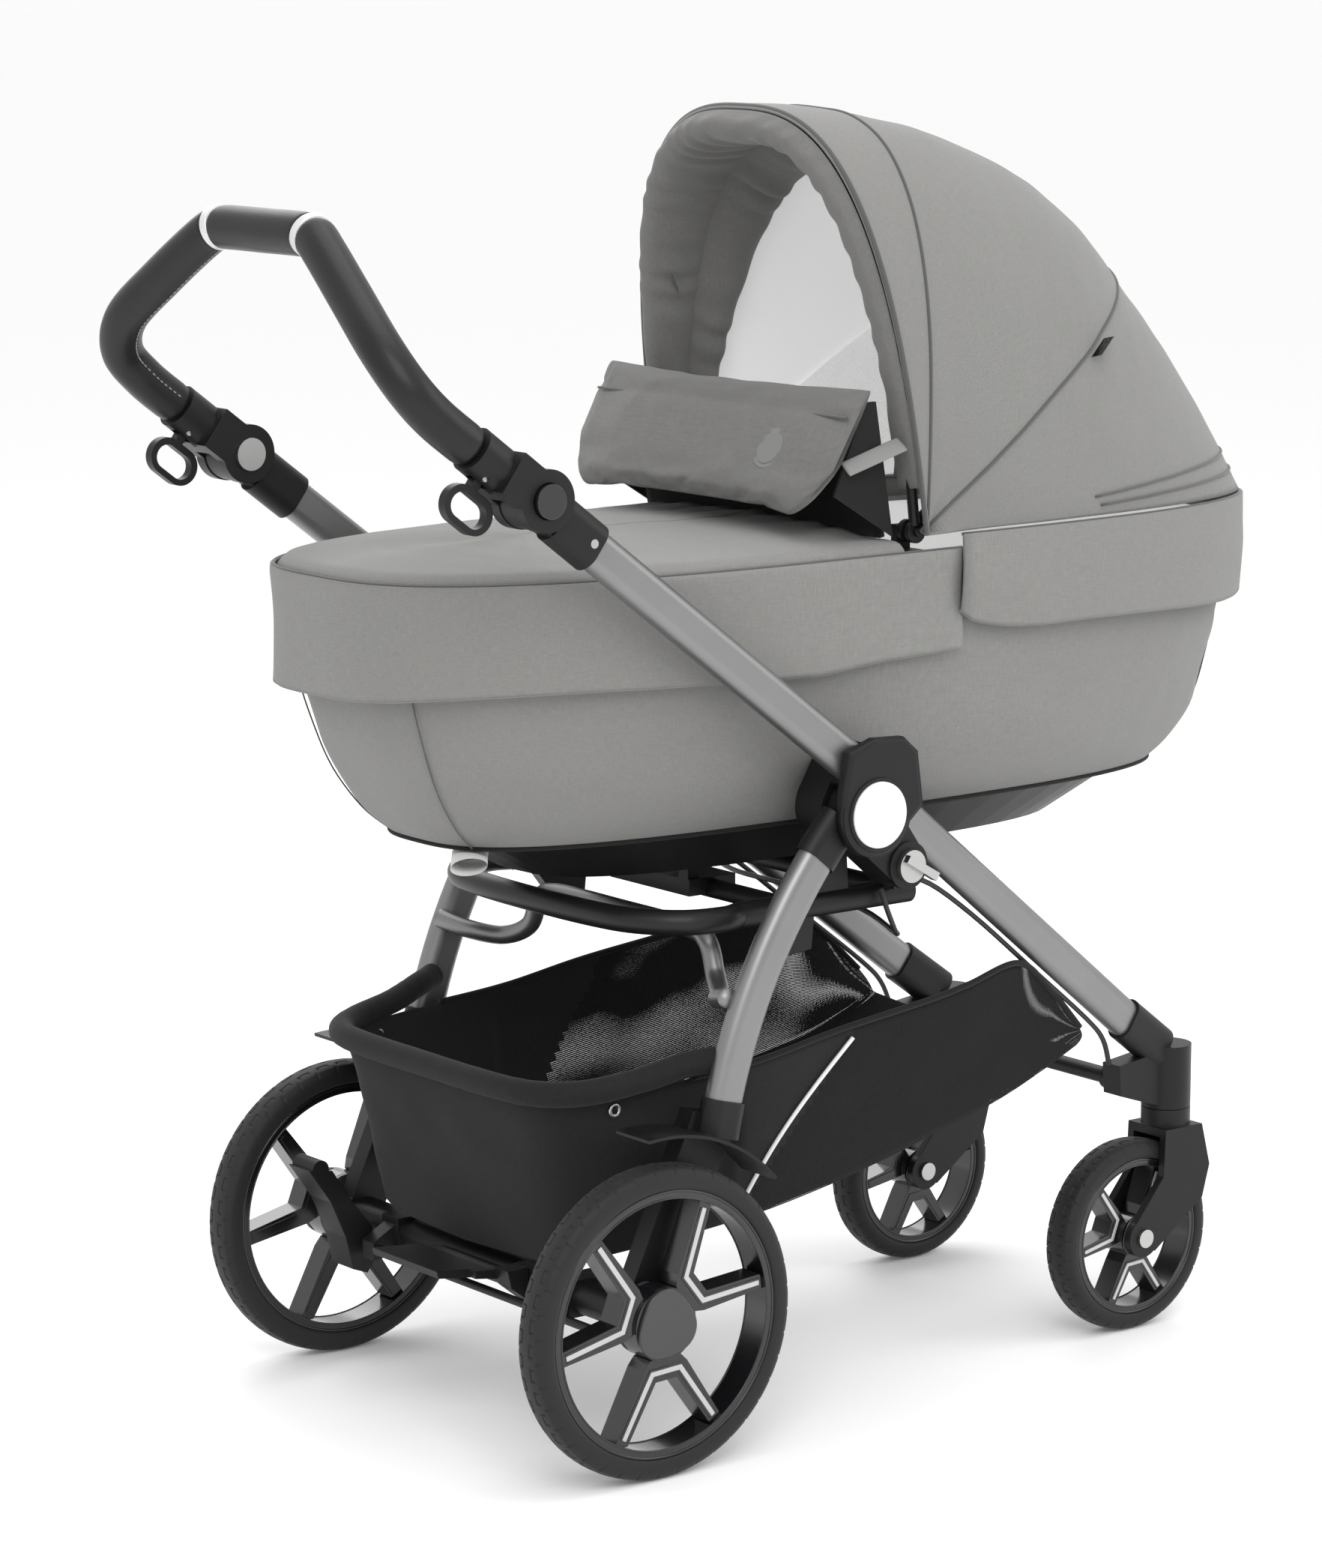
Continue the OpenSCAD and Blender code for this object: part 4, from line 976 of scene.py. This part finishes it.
@dataclass
class Carrycot:
    """The fabric carrycot: shell, lining, apron, head skirt, mattress and wind flap."""

    shaders: Shaders
    body: str = "carrycot"
    SHELL = [(540, 100, 82, 58), (562, 74, 56, 40), (600, 47, 33, 22.5), (645, 28, 20, 12.5), (690, 14, 10.5, 6), (740, 5, 4, 2), (782, 0, 0, 0)]

    def build(self) -> None:
        """Makes the carrycot's pieces."""
        self._shell()
        self._lining()
        self._apron()
        self._head_skirt()
        self._mattress()
        self._flap()
        self._foot_pad()

    def _shell_point(self, u: float, v: float, grow: float = 0.0) -> Vector:
        z, foot, head, side = lerp_rows(self.SHELL, v)
        x, y = superellipse(COT_FOOT_X + foot - grow, COT_HEAD_X - head + grow, COT_HALF_W - side + grow, TAU * u)
        return Vector((x, y, z))

    def _shell(self) -> None:
        grey = self.shaders.of("cloth_grey")

        def place(u: float, v: float) -> Vector:
            if v < 0.12:
                edge = self._shell_point(u, 0)
                k = 0.35 + 0.65 * v / 0.12
                return Vector((44 + (edge.x - 44) * k, edge.y * k, edge.z))
            p = self._shell_point(u, (v - 0.12) / 0.88)
            slack = math.sin(math.pi * (v - 0.12) / 0.88)
            out = Vector((p.x - 44, p.y * 2.2, 0)).normalized()
            fold = wobble(Vector((p.x, p.y, p.z * 2.5)), 95, 3.2) + wobble(Vector((p.x * 2, p.y * 2, p.z)), 50, 1.2)
            return p + out * (fold * slack - 1.0)

        shell = surface("cot_fabric", place, (220, 44), (2.6, 0.34), [grey], 0.004, wrap=True)
        keep(shell, self.body, "cloth_grey", "cot_shell")
        for side in Side:
            for u0 in (0.447, 0.05):
                u = u0 if side is Side.LEFT else 1 - u0
                seam = [self._shell_point(u, t / 30, 1.3) for t in range(0, 29)]
                keep(tube(f"cot_seam_{side.word}_{int(u0 * 1000)}", seam, 0.8, self.shaders.of("piping"), 8), self.body, "cloth_grey")
        hem = [self._shell_point(k / 200, 0.02, 0.5) for k in range(200)]
        keep(tube("cot_hem", hem, 2.2, self.shaders.of("cloth_dark"), 10, closed=True), self.body, "cloth_grey")

    def _lining(self) -> None:
        def place(u: float, v: float) -> Vector:
            if v < 0.2:
                edge = self._shell_point(u, 0.32, -14)
                k = v / 0.2
                return Vector((44 + (edge.x - 44) * k, edge.y * k, 588))
            return self._shell_point(u, 0.32 + 0.66 * (v - 0.2) / 0.8, -14)

        obj = surface("cot_lining", place, (160, 24), (2.6, 0.6), [self.shaders.of("lining")], 0.002, wrap=True)
        keep(obj, self.body, "mattress_white")

    def _rim(self, a: float, grow: float) -> Vector:
        """A point above the rim line at plan angle a, the foot at a = pi."""
        x, y = superellipse(COT_FOOT_X - grow, COT_HEAD_X + grow, COT_HALF_W + grow, a)
        return Vector((x, y, 0))

    def _apron_edge(self, t: float, grow: float, end_x: float = 34.0) -> Vector:
        """The apron's outline from its left end at end_x round the foot, t from 0 to 1."""
        first = math.acos(max(-1.0, min(1.0, math.copysign(abs((end_x - 44) / 510) ** (1 / 0.66), end_x - 44))))
        return self._rim(first + (TAU - 2 * first) * t, grow)

    def _apron(self) -> None:
        grey = self.shaders.of("cloth_grey")
        fold = Vector((0, 0, 0))

        def cover(u: float, v: float) -> Vector:
            edge = self._apron_edge(u, 6.0)
            spine = Vector((min(max(edge.x * 0.72, -250), 34), 0, 0))
            k = v
            p = edge.lerp(spine, k)
            roll = 1 - (1 - min(v / 0.07, 1)) ** 2
            z = 783 + 11 * roll + 13 * math.sin(math.pi / 2 * k) ** 0.8
            sag = wobble(Vector((p.x, p.y * 1.4, 0)), 120, 2.6) + wobble(Vector((p.x * 1.5, p.y, 5)), 46, 1.1)
            ripple = 1.6 * math.sin(p.y / 7.5 + 3 * noise.noise(p / 60)) * max(0.0, 1 - abs(p.x - 20) / 70) * min(1, v * 6)
            return Vector((p.x, p.y, z + (sag + ripple) * min(1, v * 5)))

        def skirt(u: float, v: float) -> Vector:
            low = 687 + 5 * math.sin(u * TAU * 1.5 + 0.6) + 12 * max(0.0, 1 - min(u, 1 - u) / 0.04)
            z = 786.5 + (low - 786.5) * v
            grow = 7.6 - 1.2 * v - 2.4 * math.sin(math.pi * v) + (2.0 * (1 - v / 0.05) * -0.6 if v < 0.05 else 0)
            grow -= 3.2 * max(0.0, 1 - min(u, 1 - u) / 0.06)
            p = self._apron_edge(u, grow, 100.0)
            n = (p - Vector((44, 0, 0))).normalized()
            bend = wobble(Vector((p.x, p.y, z * 1.6)), 80, 2.4) + wobble(Vector((p.x * 2, p.y * 2, z)), 50, 0.9)
            return Vector((p.x, p.y, z)) + n * (bend * min(1.0, v * 2) * 0.8) + fold

        top = surface("apron_cover", cover, (200, 40), (1.35, 0.2), [grey], 0.004)
        keep(top, self.body, "cloth_grey", "apron")
        band = surface("apron_skirt", skirt, (240, 26), (1.35, 0.1), [grey], -0.0035)
        keep(band, self.body, "cloth_grey")
        piping = self.shaders.of("piping")
        line = [self._apron_edge(k / 200, 7.2 - 3.2 * max(0.0, 1 - min(k, 200 - k) / 12), 100.0) + Vector((0, 0, 787)) for k in range(201)]
        keep(tube("apron_piping", line, 1.7, piping, 10), self.body, "cloth_grey")
        hem = [skirt(k / 200, 1.0) for k in range(201)]
        keep(tube("apron_hem", hem, 1.9, grey, 10), self.body, "cloth_grey")
        stitch = [skirt(k / 200, 0.95) + (self._apron_edge(k / 200, 1, 100.0) - Vector((44, 0, 0))).normalized() * 1.1 for k in range(201)]
        keep(tube("apron_hem_stitch", [Vector((p.x, p.y, p.z)) for p in stitch], 0.45, piping, 6), self.body, "cloth_grey")
        back = surface(
            "flap_back", lambda u, v: Vector((29 - 24 * v, -172 + 344 * u, 800 + 128 * v)), (40, 14), (0.34, 0.13), [self.shaders.of("cloth_dark")], 0.006
        )
        keep(back, self.body, "cloth_grey", "flap_wall")

    def _skirt_edge(self, t: float, grow: float) -> Vector:
        """The head skirt's outline from its left front end round the head."""
        first = math.acos(abs((96.0 - 44) / 510) ** (1 / 0.66))
        return self._rim(first * (1 - t) - first * t, grow)

    def _head_skirt(self) -> None:
        grey = self.shaders.of("cloth_grey")

        def place(u: float, v: float) -> Vector:
            end = min(u, 1 - u) / 0.045
            round_off = 22 * (1 - math.sqrt(max(0.0, 1 - (1 - min(end, 1)) ** 2)))
            low = 706 + 3.0 * math.sin(u * 15) + round_off
            z = 800 + (low - 800) * v
            p = self._skirt_edge(u, 9.0 - 1.0 * v + 1.2 * math.sin(math.pi * v))
            n = (p - Vector((44, 0, 0))).normalized()
            return Vector((p.x, p.y, z)) + n * wobble(Vector((p.x, p.y, z * 2)), 70, 2.0) * min(1, 2 * v)

        band = surface("head_skirt_cloth", place, (220, 24), (1.4, 0.095), [grey], -0.0035)
        keep(band, self.body, "cloth_grey", "head_skirt")
        for i, (v, r) in enumerate(((1.0, 1.7), (0.0, 1.6))):
            keep(tube(f"head_skirt_edge_{i}", [place(k / 200, v) for k in range(201)], r, grey if i == 0 else self.shaders.of("piping"), 10), self.body, "cloth_grey")

    def _mattress(self) -> None:
        def place(u: float, v: float) -> Vector:
            k = min(1.0, math.sin(math.pi * min(v, 1 - v) * 1.0) * 1.6)
            x, y = superellipse(-380, 482, 146, TAU * u)
            z = 575 + 12 * math.cos(math.pi * v) * -1 * min(1, abs(v - 0.5) * 3)
            return Vector((50 + (x - 50) * k, y * k, z + 12))

        obj = surface("mattress_cover", place, (96, 30), (2.2, 0.5), [self.shaders.of("mattress_white")], wrap=True)
        keep(obj, self.body, "mattress_white", "mattress")

    def _flap(self) -> None:
        """The padded wind flap, hanging from its ridge over the apron."""
        down = Vector((-60, 0, -108)).normalized()
        face = Vector((-108, 0, 60)).normalized()
        cloth = self.shaders.of("cloth_flap")

        def place(u: float, v: float) -> Vector:
            a = TAU * v
            c, s = math.cos(a), math.sin(a)
            t = 0.5 - 0.5 * math.copysign(abs(c) ** 0.55, c)
            w = 190 - 16 * max(0.0, (t - 0.72) / 0.28) ** 2
            y = w * (2 * u - 1)
            side = abs(2 * u - 1)
            drop = t * (127 - 30 * max(0.0, (side - 0.86) / 0.14) ** 2)
            thick = 6.5 * math.copysign(abs(s) ** 0.6, s) * (0.9 - 0.55 * max(0.0, (side - 0.93) / 0.07))
            seam = 2.2 * math.exp(-(((t - 0.24) / 0.03) ** 2)) if s > 0 else 0.0
            p = Vector((-3, y, 934)) + down * drop + face * (thick - (seam if s > 0 else 0) + 2)
            n = wobble(Vector((y * 0.9, drop * 2.2, 7)), 34, 1.8) if s > 0 else 0.0
            return p + face * n * min(1.0, abs(s) * 2)

        obj = surface("wind_flap_pad", place, (150, 72), (0.38, 0.28), [cloth], wrap=False)
        bm = bmesh.new()
        bm.from_mesh(obj.data)
        bmesh.ops.remove_doubles(bm, verts=bm.verts, dist=2e-5)
        bmesh.ops.holes_fill(bm, edges=[e for e in bm.edges if e.is_boundary], sides=0)
        bmesh.ops.recalc_face_normals(bm, faces=bm.faces)
        bm.to_mesh(obj.data)
        bm.free()
        seam_drop = 31.0
        puff(obj, lambda p: abs((p - Vector((-3, p.y, 934))).dot(down) - seam_drop) < 1.6 or abs(p.y) > 183, 4.0, 7.0)
        keep(obj, "wind_flap", "cloth_grey", "wind_flap")
        piping = self.shaders.of("piping")
        line = [Vector((-3, 185 * (1 - k / 50), 934)) + down * seam_drop + face * 9.0 for k in range(101)]
        keep(tube("flap_seam", line, 1.3, piping, 8), "wind_flap", "cloth_grey")
        centre = Vector((-3, -103, 934)) + down * 70 + face * 13.0
        bm = bmesh.new()
        turn = face.to_track_quat("Z", "Y").to_matrix().to_4x4()
        for r, d, lift in ((21.0, 2.4, 0.0), (16.5, 1.2, 1.3)):
            bmesh.ops.create_cone(bm, cap_ends=True, segments=64, radius1=r * MM, radius2=(r - 1.2) * MM, depth=d * MM, matrix=Matrix.Translation((centre + face * lift) * MM) @ turn)
        badge = _object("flap_badge", bm, [self.shaders.of("badge")], shade=False)
        keep(badge, "wind_flap", "cloth_grey")
        dark = self.shaders.of("cloth_dark")
        for side in Side:
            y = side.value * 182
            gusset = plate(f"flap_gusset_{side.word}", [[(-4, 924), (9, 924), (30, 801), (-38, 842)]], y, y - side.value * 3, 0, dark)
            keep(gusset, self.body, "cloth_grey")
            strap = [Vector((-30, side.value * 186.5, 866)), Vector((-12, side.value * 189, 872)), Vector((14, side.value * 190.5, 880)), Vector((34, side.value * 189, 885))]
            obj = tube(f"flap_strap_{side.word}", smooth_path(strap, 6), 8.0, self.shaders.of("strap"), 16, flatten=0.16)
            keep(obj, self.body, "cloth_grey")

    def _foot_pad(self) -> None:
        """The pale blank tab under the foot end."""
        def place(u: float, v: float) -> Vector:
            a = TAU * v
            x = -352 + 44 * (u - 0.5) * 1.0
            return Vector((x + 20 * math.cos(a), -58 + 60 * (u - 0.5) + 3 * math.sin(a), 531 + 7 * math.sin(a)))

        obj = surface("foot_pad", place, (24, 32), (0.08, 0.1), [self.shaders.of("mattress_white")], wrap=False)
        keep(obj, self.body, "mattress_white")


# ---- Hood ------------------------------------------------------------------------------------------------


@dataclass
class Hood:
    """The canopy with its front band, seams, ruched edge, lining and ribbed panel."""

    shaders: Shaders

    @staticmethod
    def arch(a: float, hw: float, h: float, lean: float, inset: float = 0.0) -> Vector:
        """A point of an arch about the hood pivot.

        Args:
            a: Share along the arch from the left side to the right.
            hw: Half width in mm.
            h: Height in mm.
            lean: Lean back in degrees.
            inset: Distance inside the arch in mm.
        """
        t = math.pi * a
        c, s = math.cos(t), math.sin(t)
        y = (hw - inset) * math.copysign(abs(c) ** 0.72, c)
        z = (h - inset) * max(s, 0.0) ** 0.72
        r = math.radians(lean)
        return PIVOT + Vector((z * math.sin(r), y, z * math.cos(r)))

    def skin(self, a: float, v: float, inset: float = 0.0) -> Vector:
        """A point of the canopy: v up to 0.62 fans from the front edge to the rear bow, and then falls to the rim."""
        if v <= 0.62:
            f = v / 0.62
            lean = FRONT_LEAN + (REAR_LEAN - FRONT_LEAN) * f
            rows = [(197, 383), (197, 379), (196, 383), (192, 396), (189, 407)]
            hw, h = lerp_rows(rows, f)
            h -= 5 * math.sin(math.pi * f) * math.sin(math.pi * a)
            return self.arch(a, hw, h, lean, inset)
        f = (v - 0.62) / 0.38
        top = self.arch(a, 189, 407, REAR_LEAN, inset)
        t = math.pi / 2 * (1 - 2 * a)
        x, y = superellipse(COT_FOOT_X - 8, COT_HEAD_X + 10 - inset, COT_HALF_W + 5 - inset, t)
        low = Vector((max(x, PIVOT.x), y, PIVOT.z))
        p = top.lerp(low, f)
        bulge = 7.0 * math.sin(math.pi * f) * math.sin(math.pi * a)
        return p + Vector((bulge, 0, bulge * 0.6))

    def build(self) -> None:
        """Makes the hood's pieces."""
        grey, piping = self.shaders.of("cloth_grey"), self.shaders.of("piping")

        def outer(a: float, v: float) -> Vector:
            p = self.skin(a, v)
            n = (p - PIVOT - Vector((120, 0, 60))).normalized()
            edge = min(1.0, v * 8, (1 - v) * 6)
            w = wobble(p, 90, 3.0) + wobble(Vector((p.x * 1.6, p.y, p.z)), 42, 1.0)
            return p + n * ((w - 1.5) * edge)

        canopy = surface("hood_cloth", outer, (160, 90), (0.95, 0.75), [grey], 0.003)
        hooded(canopy, "cloth_grey", "hood_canopy")
        for name, v, r in (("front", 0.004, 2.6), ("band", 0.115, 1.9), ("rear", 0.62, 2.1)):
            line = [outer(k / 120, v) for k in range(121)]
            hooded(tube(f"hood_piping_{name}", line, r, piping, 10), "cloth_grey")
        self._zips(outer)
        self._ruche()
        self._inside()
        self._tag(outer)

    def _zips(self, outer: Callable[[float, float], Vector]) -> None:
        """Two low lines round the head end, above the skirt."""
        piping = self.shaders.of("piping")
        for i, v in enumerate((0.935, 0.965)):
            line = [outer(0.1 + 0.8 * k / 120, v) for k in range(121)]
            line = [p + Vector((p.x - 250, p.y, 0)).normalized() * 1.0 for p in line]
            hooded(tube(f"hood_zip_{i}", line, 1.1, piping, 8), "cloth_grey")

    def _ruche(self) -> None:
        """The gathered padding inside the front arch."""
        grey = self.shaders.of("cloth_flap")

        def ring(a: float, v: float) -> Vector:
            row = [(2, -9.6), (10, -12.0), (26, -11.2), (36, -7), (38, -2), (36, 3)]
            inset, lean = lerp_rows([(float(x), float(y)) for x, y in row], v)
            gather = math.sin(a * 150 + 5 * noise.noise(Vector((a * 12, v, 0)))) * (0.5 + 0.5 * noise.noise(Vector((a * 30, 3, 0))))
            puckers = gather * 2.8 * math.sin(math.pi * min(max(v, 0), 1)) ** 0.6
            return self.arch(0.015 + 0.97 * a, 196, 382, lean, inset + puckers)

        def second(a: float, v: float) -> Vector:
            row = [(33, 1), (40, 2.5), (50, 6), (54, 10), (48, 13), (34, 15)]
            inset, lean = lerp_rows([(float(x), float(y)) for x, y in row], v)
            gather = math.sin(a * 110 + 6 * noise.noise(Vector((a * 10, v, 9)))) * (0.5 + 0.5 * noise.noise(Vector((a * 26, 8, 0))))
            return self.arch(0.02 + 0.96 * a, 196, 380, lean, inset + gather * 3.4 * math.sin(math.pi * v) ** 0.6)

        for name, fn in (("ring", ring), ("inner", second)):
            obj = surface(f"hood_ruche_{name}", fn, (420, 22), (0.95, 0.07), [grey], 0.002)
            hooded(obj, "cloth_grey")
        loop = [self.arch(0.16 + 0.002 * k, 196, 380, -6 - 0.2 * k, 40) for k in range(12)]
        hooded(tube("hood_loop", loop, 2.4, self.shaders.of("piping"), 8, flatten=0.3), "cloth_grey")

    def _inside(self) -> None:
        """White lining, with a ribbed panel at the sides behind the diagonal seam."""
        white, ribs = self.shaders.of("lining"), self.shaders.of("rib_white")

        def place(a: float, v: float) -> Vector:
            w = 0.2 + 0.79 * v
            p = self.skin(0.02 + 0.96 * a, w, 22)
            fold = 3.0 * math.sin(p.z / 13 + 3 * noise.noise(p / 70)) * noise.noise(p / 120) if v < 0.5 else 0
            return p + (PIVOT + Vector((150, 0, 80)) - p).normalized() * (fold + 2)

        def pick(p: Vector) -> int:
            d = p - PIVOT
            lean = math.degrees(math.atan2(d.x, max(d.z, 1)))
            return 1 if lean > REAR_LEAN - 3 else 0

        obj = surface("hood_lining", place, (140, 70), (0.9, 0.65), [white, ribs], 0.0015, pick=pick)
        hooded(obj, "mattress_white")
        seam = [self.skin(0.02 + 0.96 * k / 120, 0.6, 27) for k in range(121)]
        hooded(tube("hood_lining_seam", seam, 1.6, white, 8), "mattress_white")

    def _tag(self, outer: Callable[[float, float], Vector]) -> None:
        """A small blank tag caught in the rear seam on the right."""
        p = outer(0.80, 0.62) + Vector((4, -3, 0))
        t = (outer(0.82, 0.62) - outer(0.78, 0.62)).normalized()
        out = Vector((0.75, -0.6, 0.2)).normalized()
        bm = bmesh.new()
        quad = [p - t * 15, p + t * 15, p + t * 15 + out * 10, p - t * 15 + out * 10]
        face = bm.faces.new([bm.verts.new(q * MM) for q in quad])
        bmesh.ops.solidify(bm, geom=[face], thickness=0.001)
        hooded(_object("hood_tag", bm, [self.shaders.of("gloss_black")], shade=False), "cloth_grey")


# ---- Basket --------------------------------------------------------------------------------------------


@dataclass
class Basket:
    """The fabric basket hung between the rear frame and the front legs."""

    shaders: Shaders
    TOP = [(284, 164, 308), (238, 172, 352), (188, 183, 386), (120, 190, 376), (67, 192, 368), (-39, 194, 356), (-130, 195, 342), (-215, 193, 336), (-262, 190, 334), (-312, 178, 330), (-346, 150, 329), (-357, 100, 329), (-358, 0, 329)]
    LOW = [(292, 150, 286), (248, 150, 266), (192, 150, 245), (125, 154, 230), (60, 157, 215), (-20, 161, 200), (-110, 165, 188), (-200, 168, 182), (-246, 165, 179), (-288, 156, 175), (-312, 136, 172), (-321, 90, 170), (-322, 0, 170)]

    def _loop(self, rows: Sequence[tuple[float, float, float]], steps: int) -> list[Vector]:
        half = [Vector(p) for p in rows]
        other = [Vector((p.x, -p.y, p.z)) for p in reversed(half[:-1])]
        return smooth_path(half + other, steps)

    def build(self) -> None:
        """Makes the basket's cloth, piping and eyelets."""
        steps = 12
        top, low = self._loop(self.TOP, steps), self._loop(self.LOW, steps)
        n = len(top) - 1

        def place(u: float, v: float) -> Vector:
            i = min(int(round(u * n)), n)
            a, b = top[i], low[i]
            if v <= 0.6:
                f = v / 0.6
                p = a.lerp(b, f)
                out = Vector((p.x + 30, p.y * 1.6, 0)).normalized()
                bow = 3.5 * math.sin(math.pi * f)
                if p.x < -150:
                    bow = -2.0 * math.sin(math.pi * f)
                return p + out * (bow + wobble(Vector((p.x, p.y, p.z * 1.5)), 70, 3.0) * math.sin(math.pi * f))
            f = (v - 0.6) / 0.4
            return Vector((b.x + (min(b.x, 250) - b.x) * f * 0.4, b.y * (1 - f), b.z - 3 * math.sin(math.pi * f / 2)))

        def pick(p: Vector) -> int:
            return 0 if p.x < -150 + (p.z - 180) * 0.75 else 1

        cloths = [self.shaders.of("cloth_black"), self.shaders.of("mesh_black")]
        obj = surface("basket_cloth", place, (n, 34), (1.7, 0.36), cloths, 0.0012, pick=pick)
        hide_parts("basket")
        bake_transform(obj)
        edge = tube("basket_hem", [p + Vector((0, 0, 1)) for p in top[: 7 * steps]], 3.0, self.shaders.of("cloth_dark"), 10)
        edge2 = tube("basket_hem_far", [p + Vector((0, 0, 1)) for p in top[-7 * steps:]], 3.0, self.shaders.of("cloth_dark"), 10)
        pieces = [edge, edge2]
        for side in Side:
            line = []
            for k in range(25):
                z = 196 + (348 - 196) * k / 24
                x = -150 + (z - 180) * 0.75 - 14 * math.sin(math.pi * k / 24)
                f = (z - 190) / 160
                line.append(Vector((x, side.value * (167.5 + 28.5 * f + 3.5 * math.sin(math.pi * f)), z)))
            pieces.append(tube(f"basket_piping_{side.word}", line, 2.0, self.shaders.of("piping_white"), 10))
        for piece in pieces:
            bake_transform(piece)
        for side in Side:
            s = side.value
            ring = [Vector((-287 + 5 * math.cos(TAU * k / 24), s * 184.0, 318 + 5 * math.sin(TAU * k / 24))) for k in range(24)]
            eyelet = tube(f"basket_eyelet_{side.word}", ring, 1.6, self.shaders.of("steel"), 8, closed=True)
            keep(eyelet, "rear_frame", "cloth_black")


# ---- Studio ------------------------------------------------------------------------------------------------


@dataclass
class Studio:
    """Plain pale floor, soft light and the camera."""

    def build(self) -> None:
        """Sets the world, floor, lights and camera."""
        scene = bpy.context.scene
        for o in list(bpy.data.objects):
            if o.type in {"CAMERA", "LIGHT"} or o.name == "Cube":
                bpy.data.objects.remove(o)
        world = bpy.data.worlds.new("studio")
        world.use_nodes = True
        world.node_tree.nodes["Background"].inputs[0].default_value = (1, 1, 1, 1)
        world.node_tree.nodes["Background"].inputs[1].default_value = 0.97
        scene.world = world
        scene.view_settings.view_transform = "Standard"
        scene.view_settings.exposure = 0.0
        bm = bmesh.new()
        bmesh.ops.create_grid(bm, x_segments=1, y_segments=1, size=60)
        mat = bpy.data.materials.new("floor")
        mat.use_nodes = True
        shader = mat.node_tree.nodes["Principled BSDF"]
        shader.inputs["Base Color"].default_value = (0.95, 0.95, 0.95, 1)
        shader.inputs["Roughness"].default_value = 0.7
        shader.inputs["Specular IOR Level"].default_value = 0.1
        shader.inputs["Emission Color"].default_value = (1, 1, 1, 1)
        shader.inputs["Emission Strength"].default_value = 0.04
        floor = _object("floor", bm, [mat])
        floor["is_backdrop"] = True
        for name, place, size, power in (
            ("key", (-2.2, -3.2, 3.4), 2.6, 82),
            ("fill", (3.2, -2.4, 2.4), 2.4, 32),
            ("rim", (1.2, 3.4, 2.8), 2.6, 46),
            ("top", (0.0, 0.0, 4.2), 3.0, 48),
        ):
            data = bpy.data.lights.new(name, "AREA")
            data.size, data.energy = size, power
            lamp = bpy.data.objects.new(name, data)
            scene.collection.objects.link(lamp)
            lamp.location = place
            lamp.rotation_mode = "QUATERNION"
            lamp.rotation_quaternion = (Vector((0, 0, 0.6)) - Vector(place)).to_track_quat("-Z", "Y")
            lamp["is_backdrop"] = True
        data = bpy.data.cameras.new("camera")
        data.sensor_width, data.lens = 36, 111.2
        cam = bpy.data.objects.new("camera", data)
        scene.collection.objects.link(cam)
        cam.location = (-2.7845, -3.4881, 1.3506)
        cam.rotation_mode = "QUATERNION"
        cam.rotation_quaternion = (-Vector((-0.6013, -0.7794, 0.1762))).to_track_quat("-Z", "Y")
        scene.camera = cam


def write_size(stage: str, found: dict) -> None:
    """Adds the shown object's corners to the size note.

    Args:
        stage: Name of the moment.
        found: What was noted before; the file holds all of it.
    """
    lo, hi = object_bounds()
    found[stage] = [list(lo), list(hi)]


def main() -> None:
    """Builds the whole scene."""
    logging.basicConfig(level=logging.INFO)
    sizes: dict = {}
    write_size("cad", sizes)
    Studio().build()
    shaders = Shaders()
    for node, obj in frame["nodes"].items():
        obj.data.materials.clear()
        obj.data.materials.append(shaders.of(NODE_SLOTS[node]))
    for side in Side:
        s = side.value
        Wheel(shaders, f"rear_{side.word}", f"rear_wheel_{side.word}", f"rear_tyre_{side.word}", f"rear_cap_{side.word}",
              Vector((REAR_AXLE.x, s * REAR_WHEEL_Y, REAR_AXLE.z)), 141, 121, 17, 36, 15, 8, s, 40).build()
        Wheel(shaders, f"front_{side.word}", f"front_wheel_{side.word}", f"front_tyre_{side.word}", None,
              Vector((FRONT_AXLE.x, s * CASTER_Y, FRONT_AXLE.z)), 94, 77, 17, 23, 11, 7, s, 30).build()
    log.info("wheels done")
    HandleBar(shaders).build()
    Chassis(shaders).build()
    Carrycot(shaders).build()
    Hood(shaders).build()
    Basket(shaders).build()
    log.info("pieces done")
    write_size("shown", sizes)


if __name__ == "__main__":
    main()
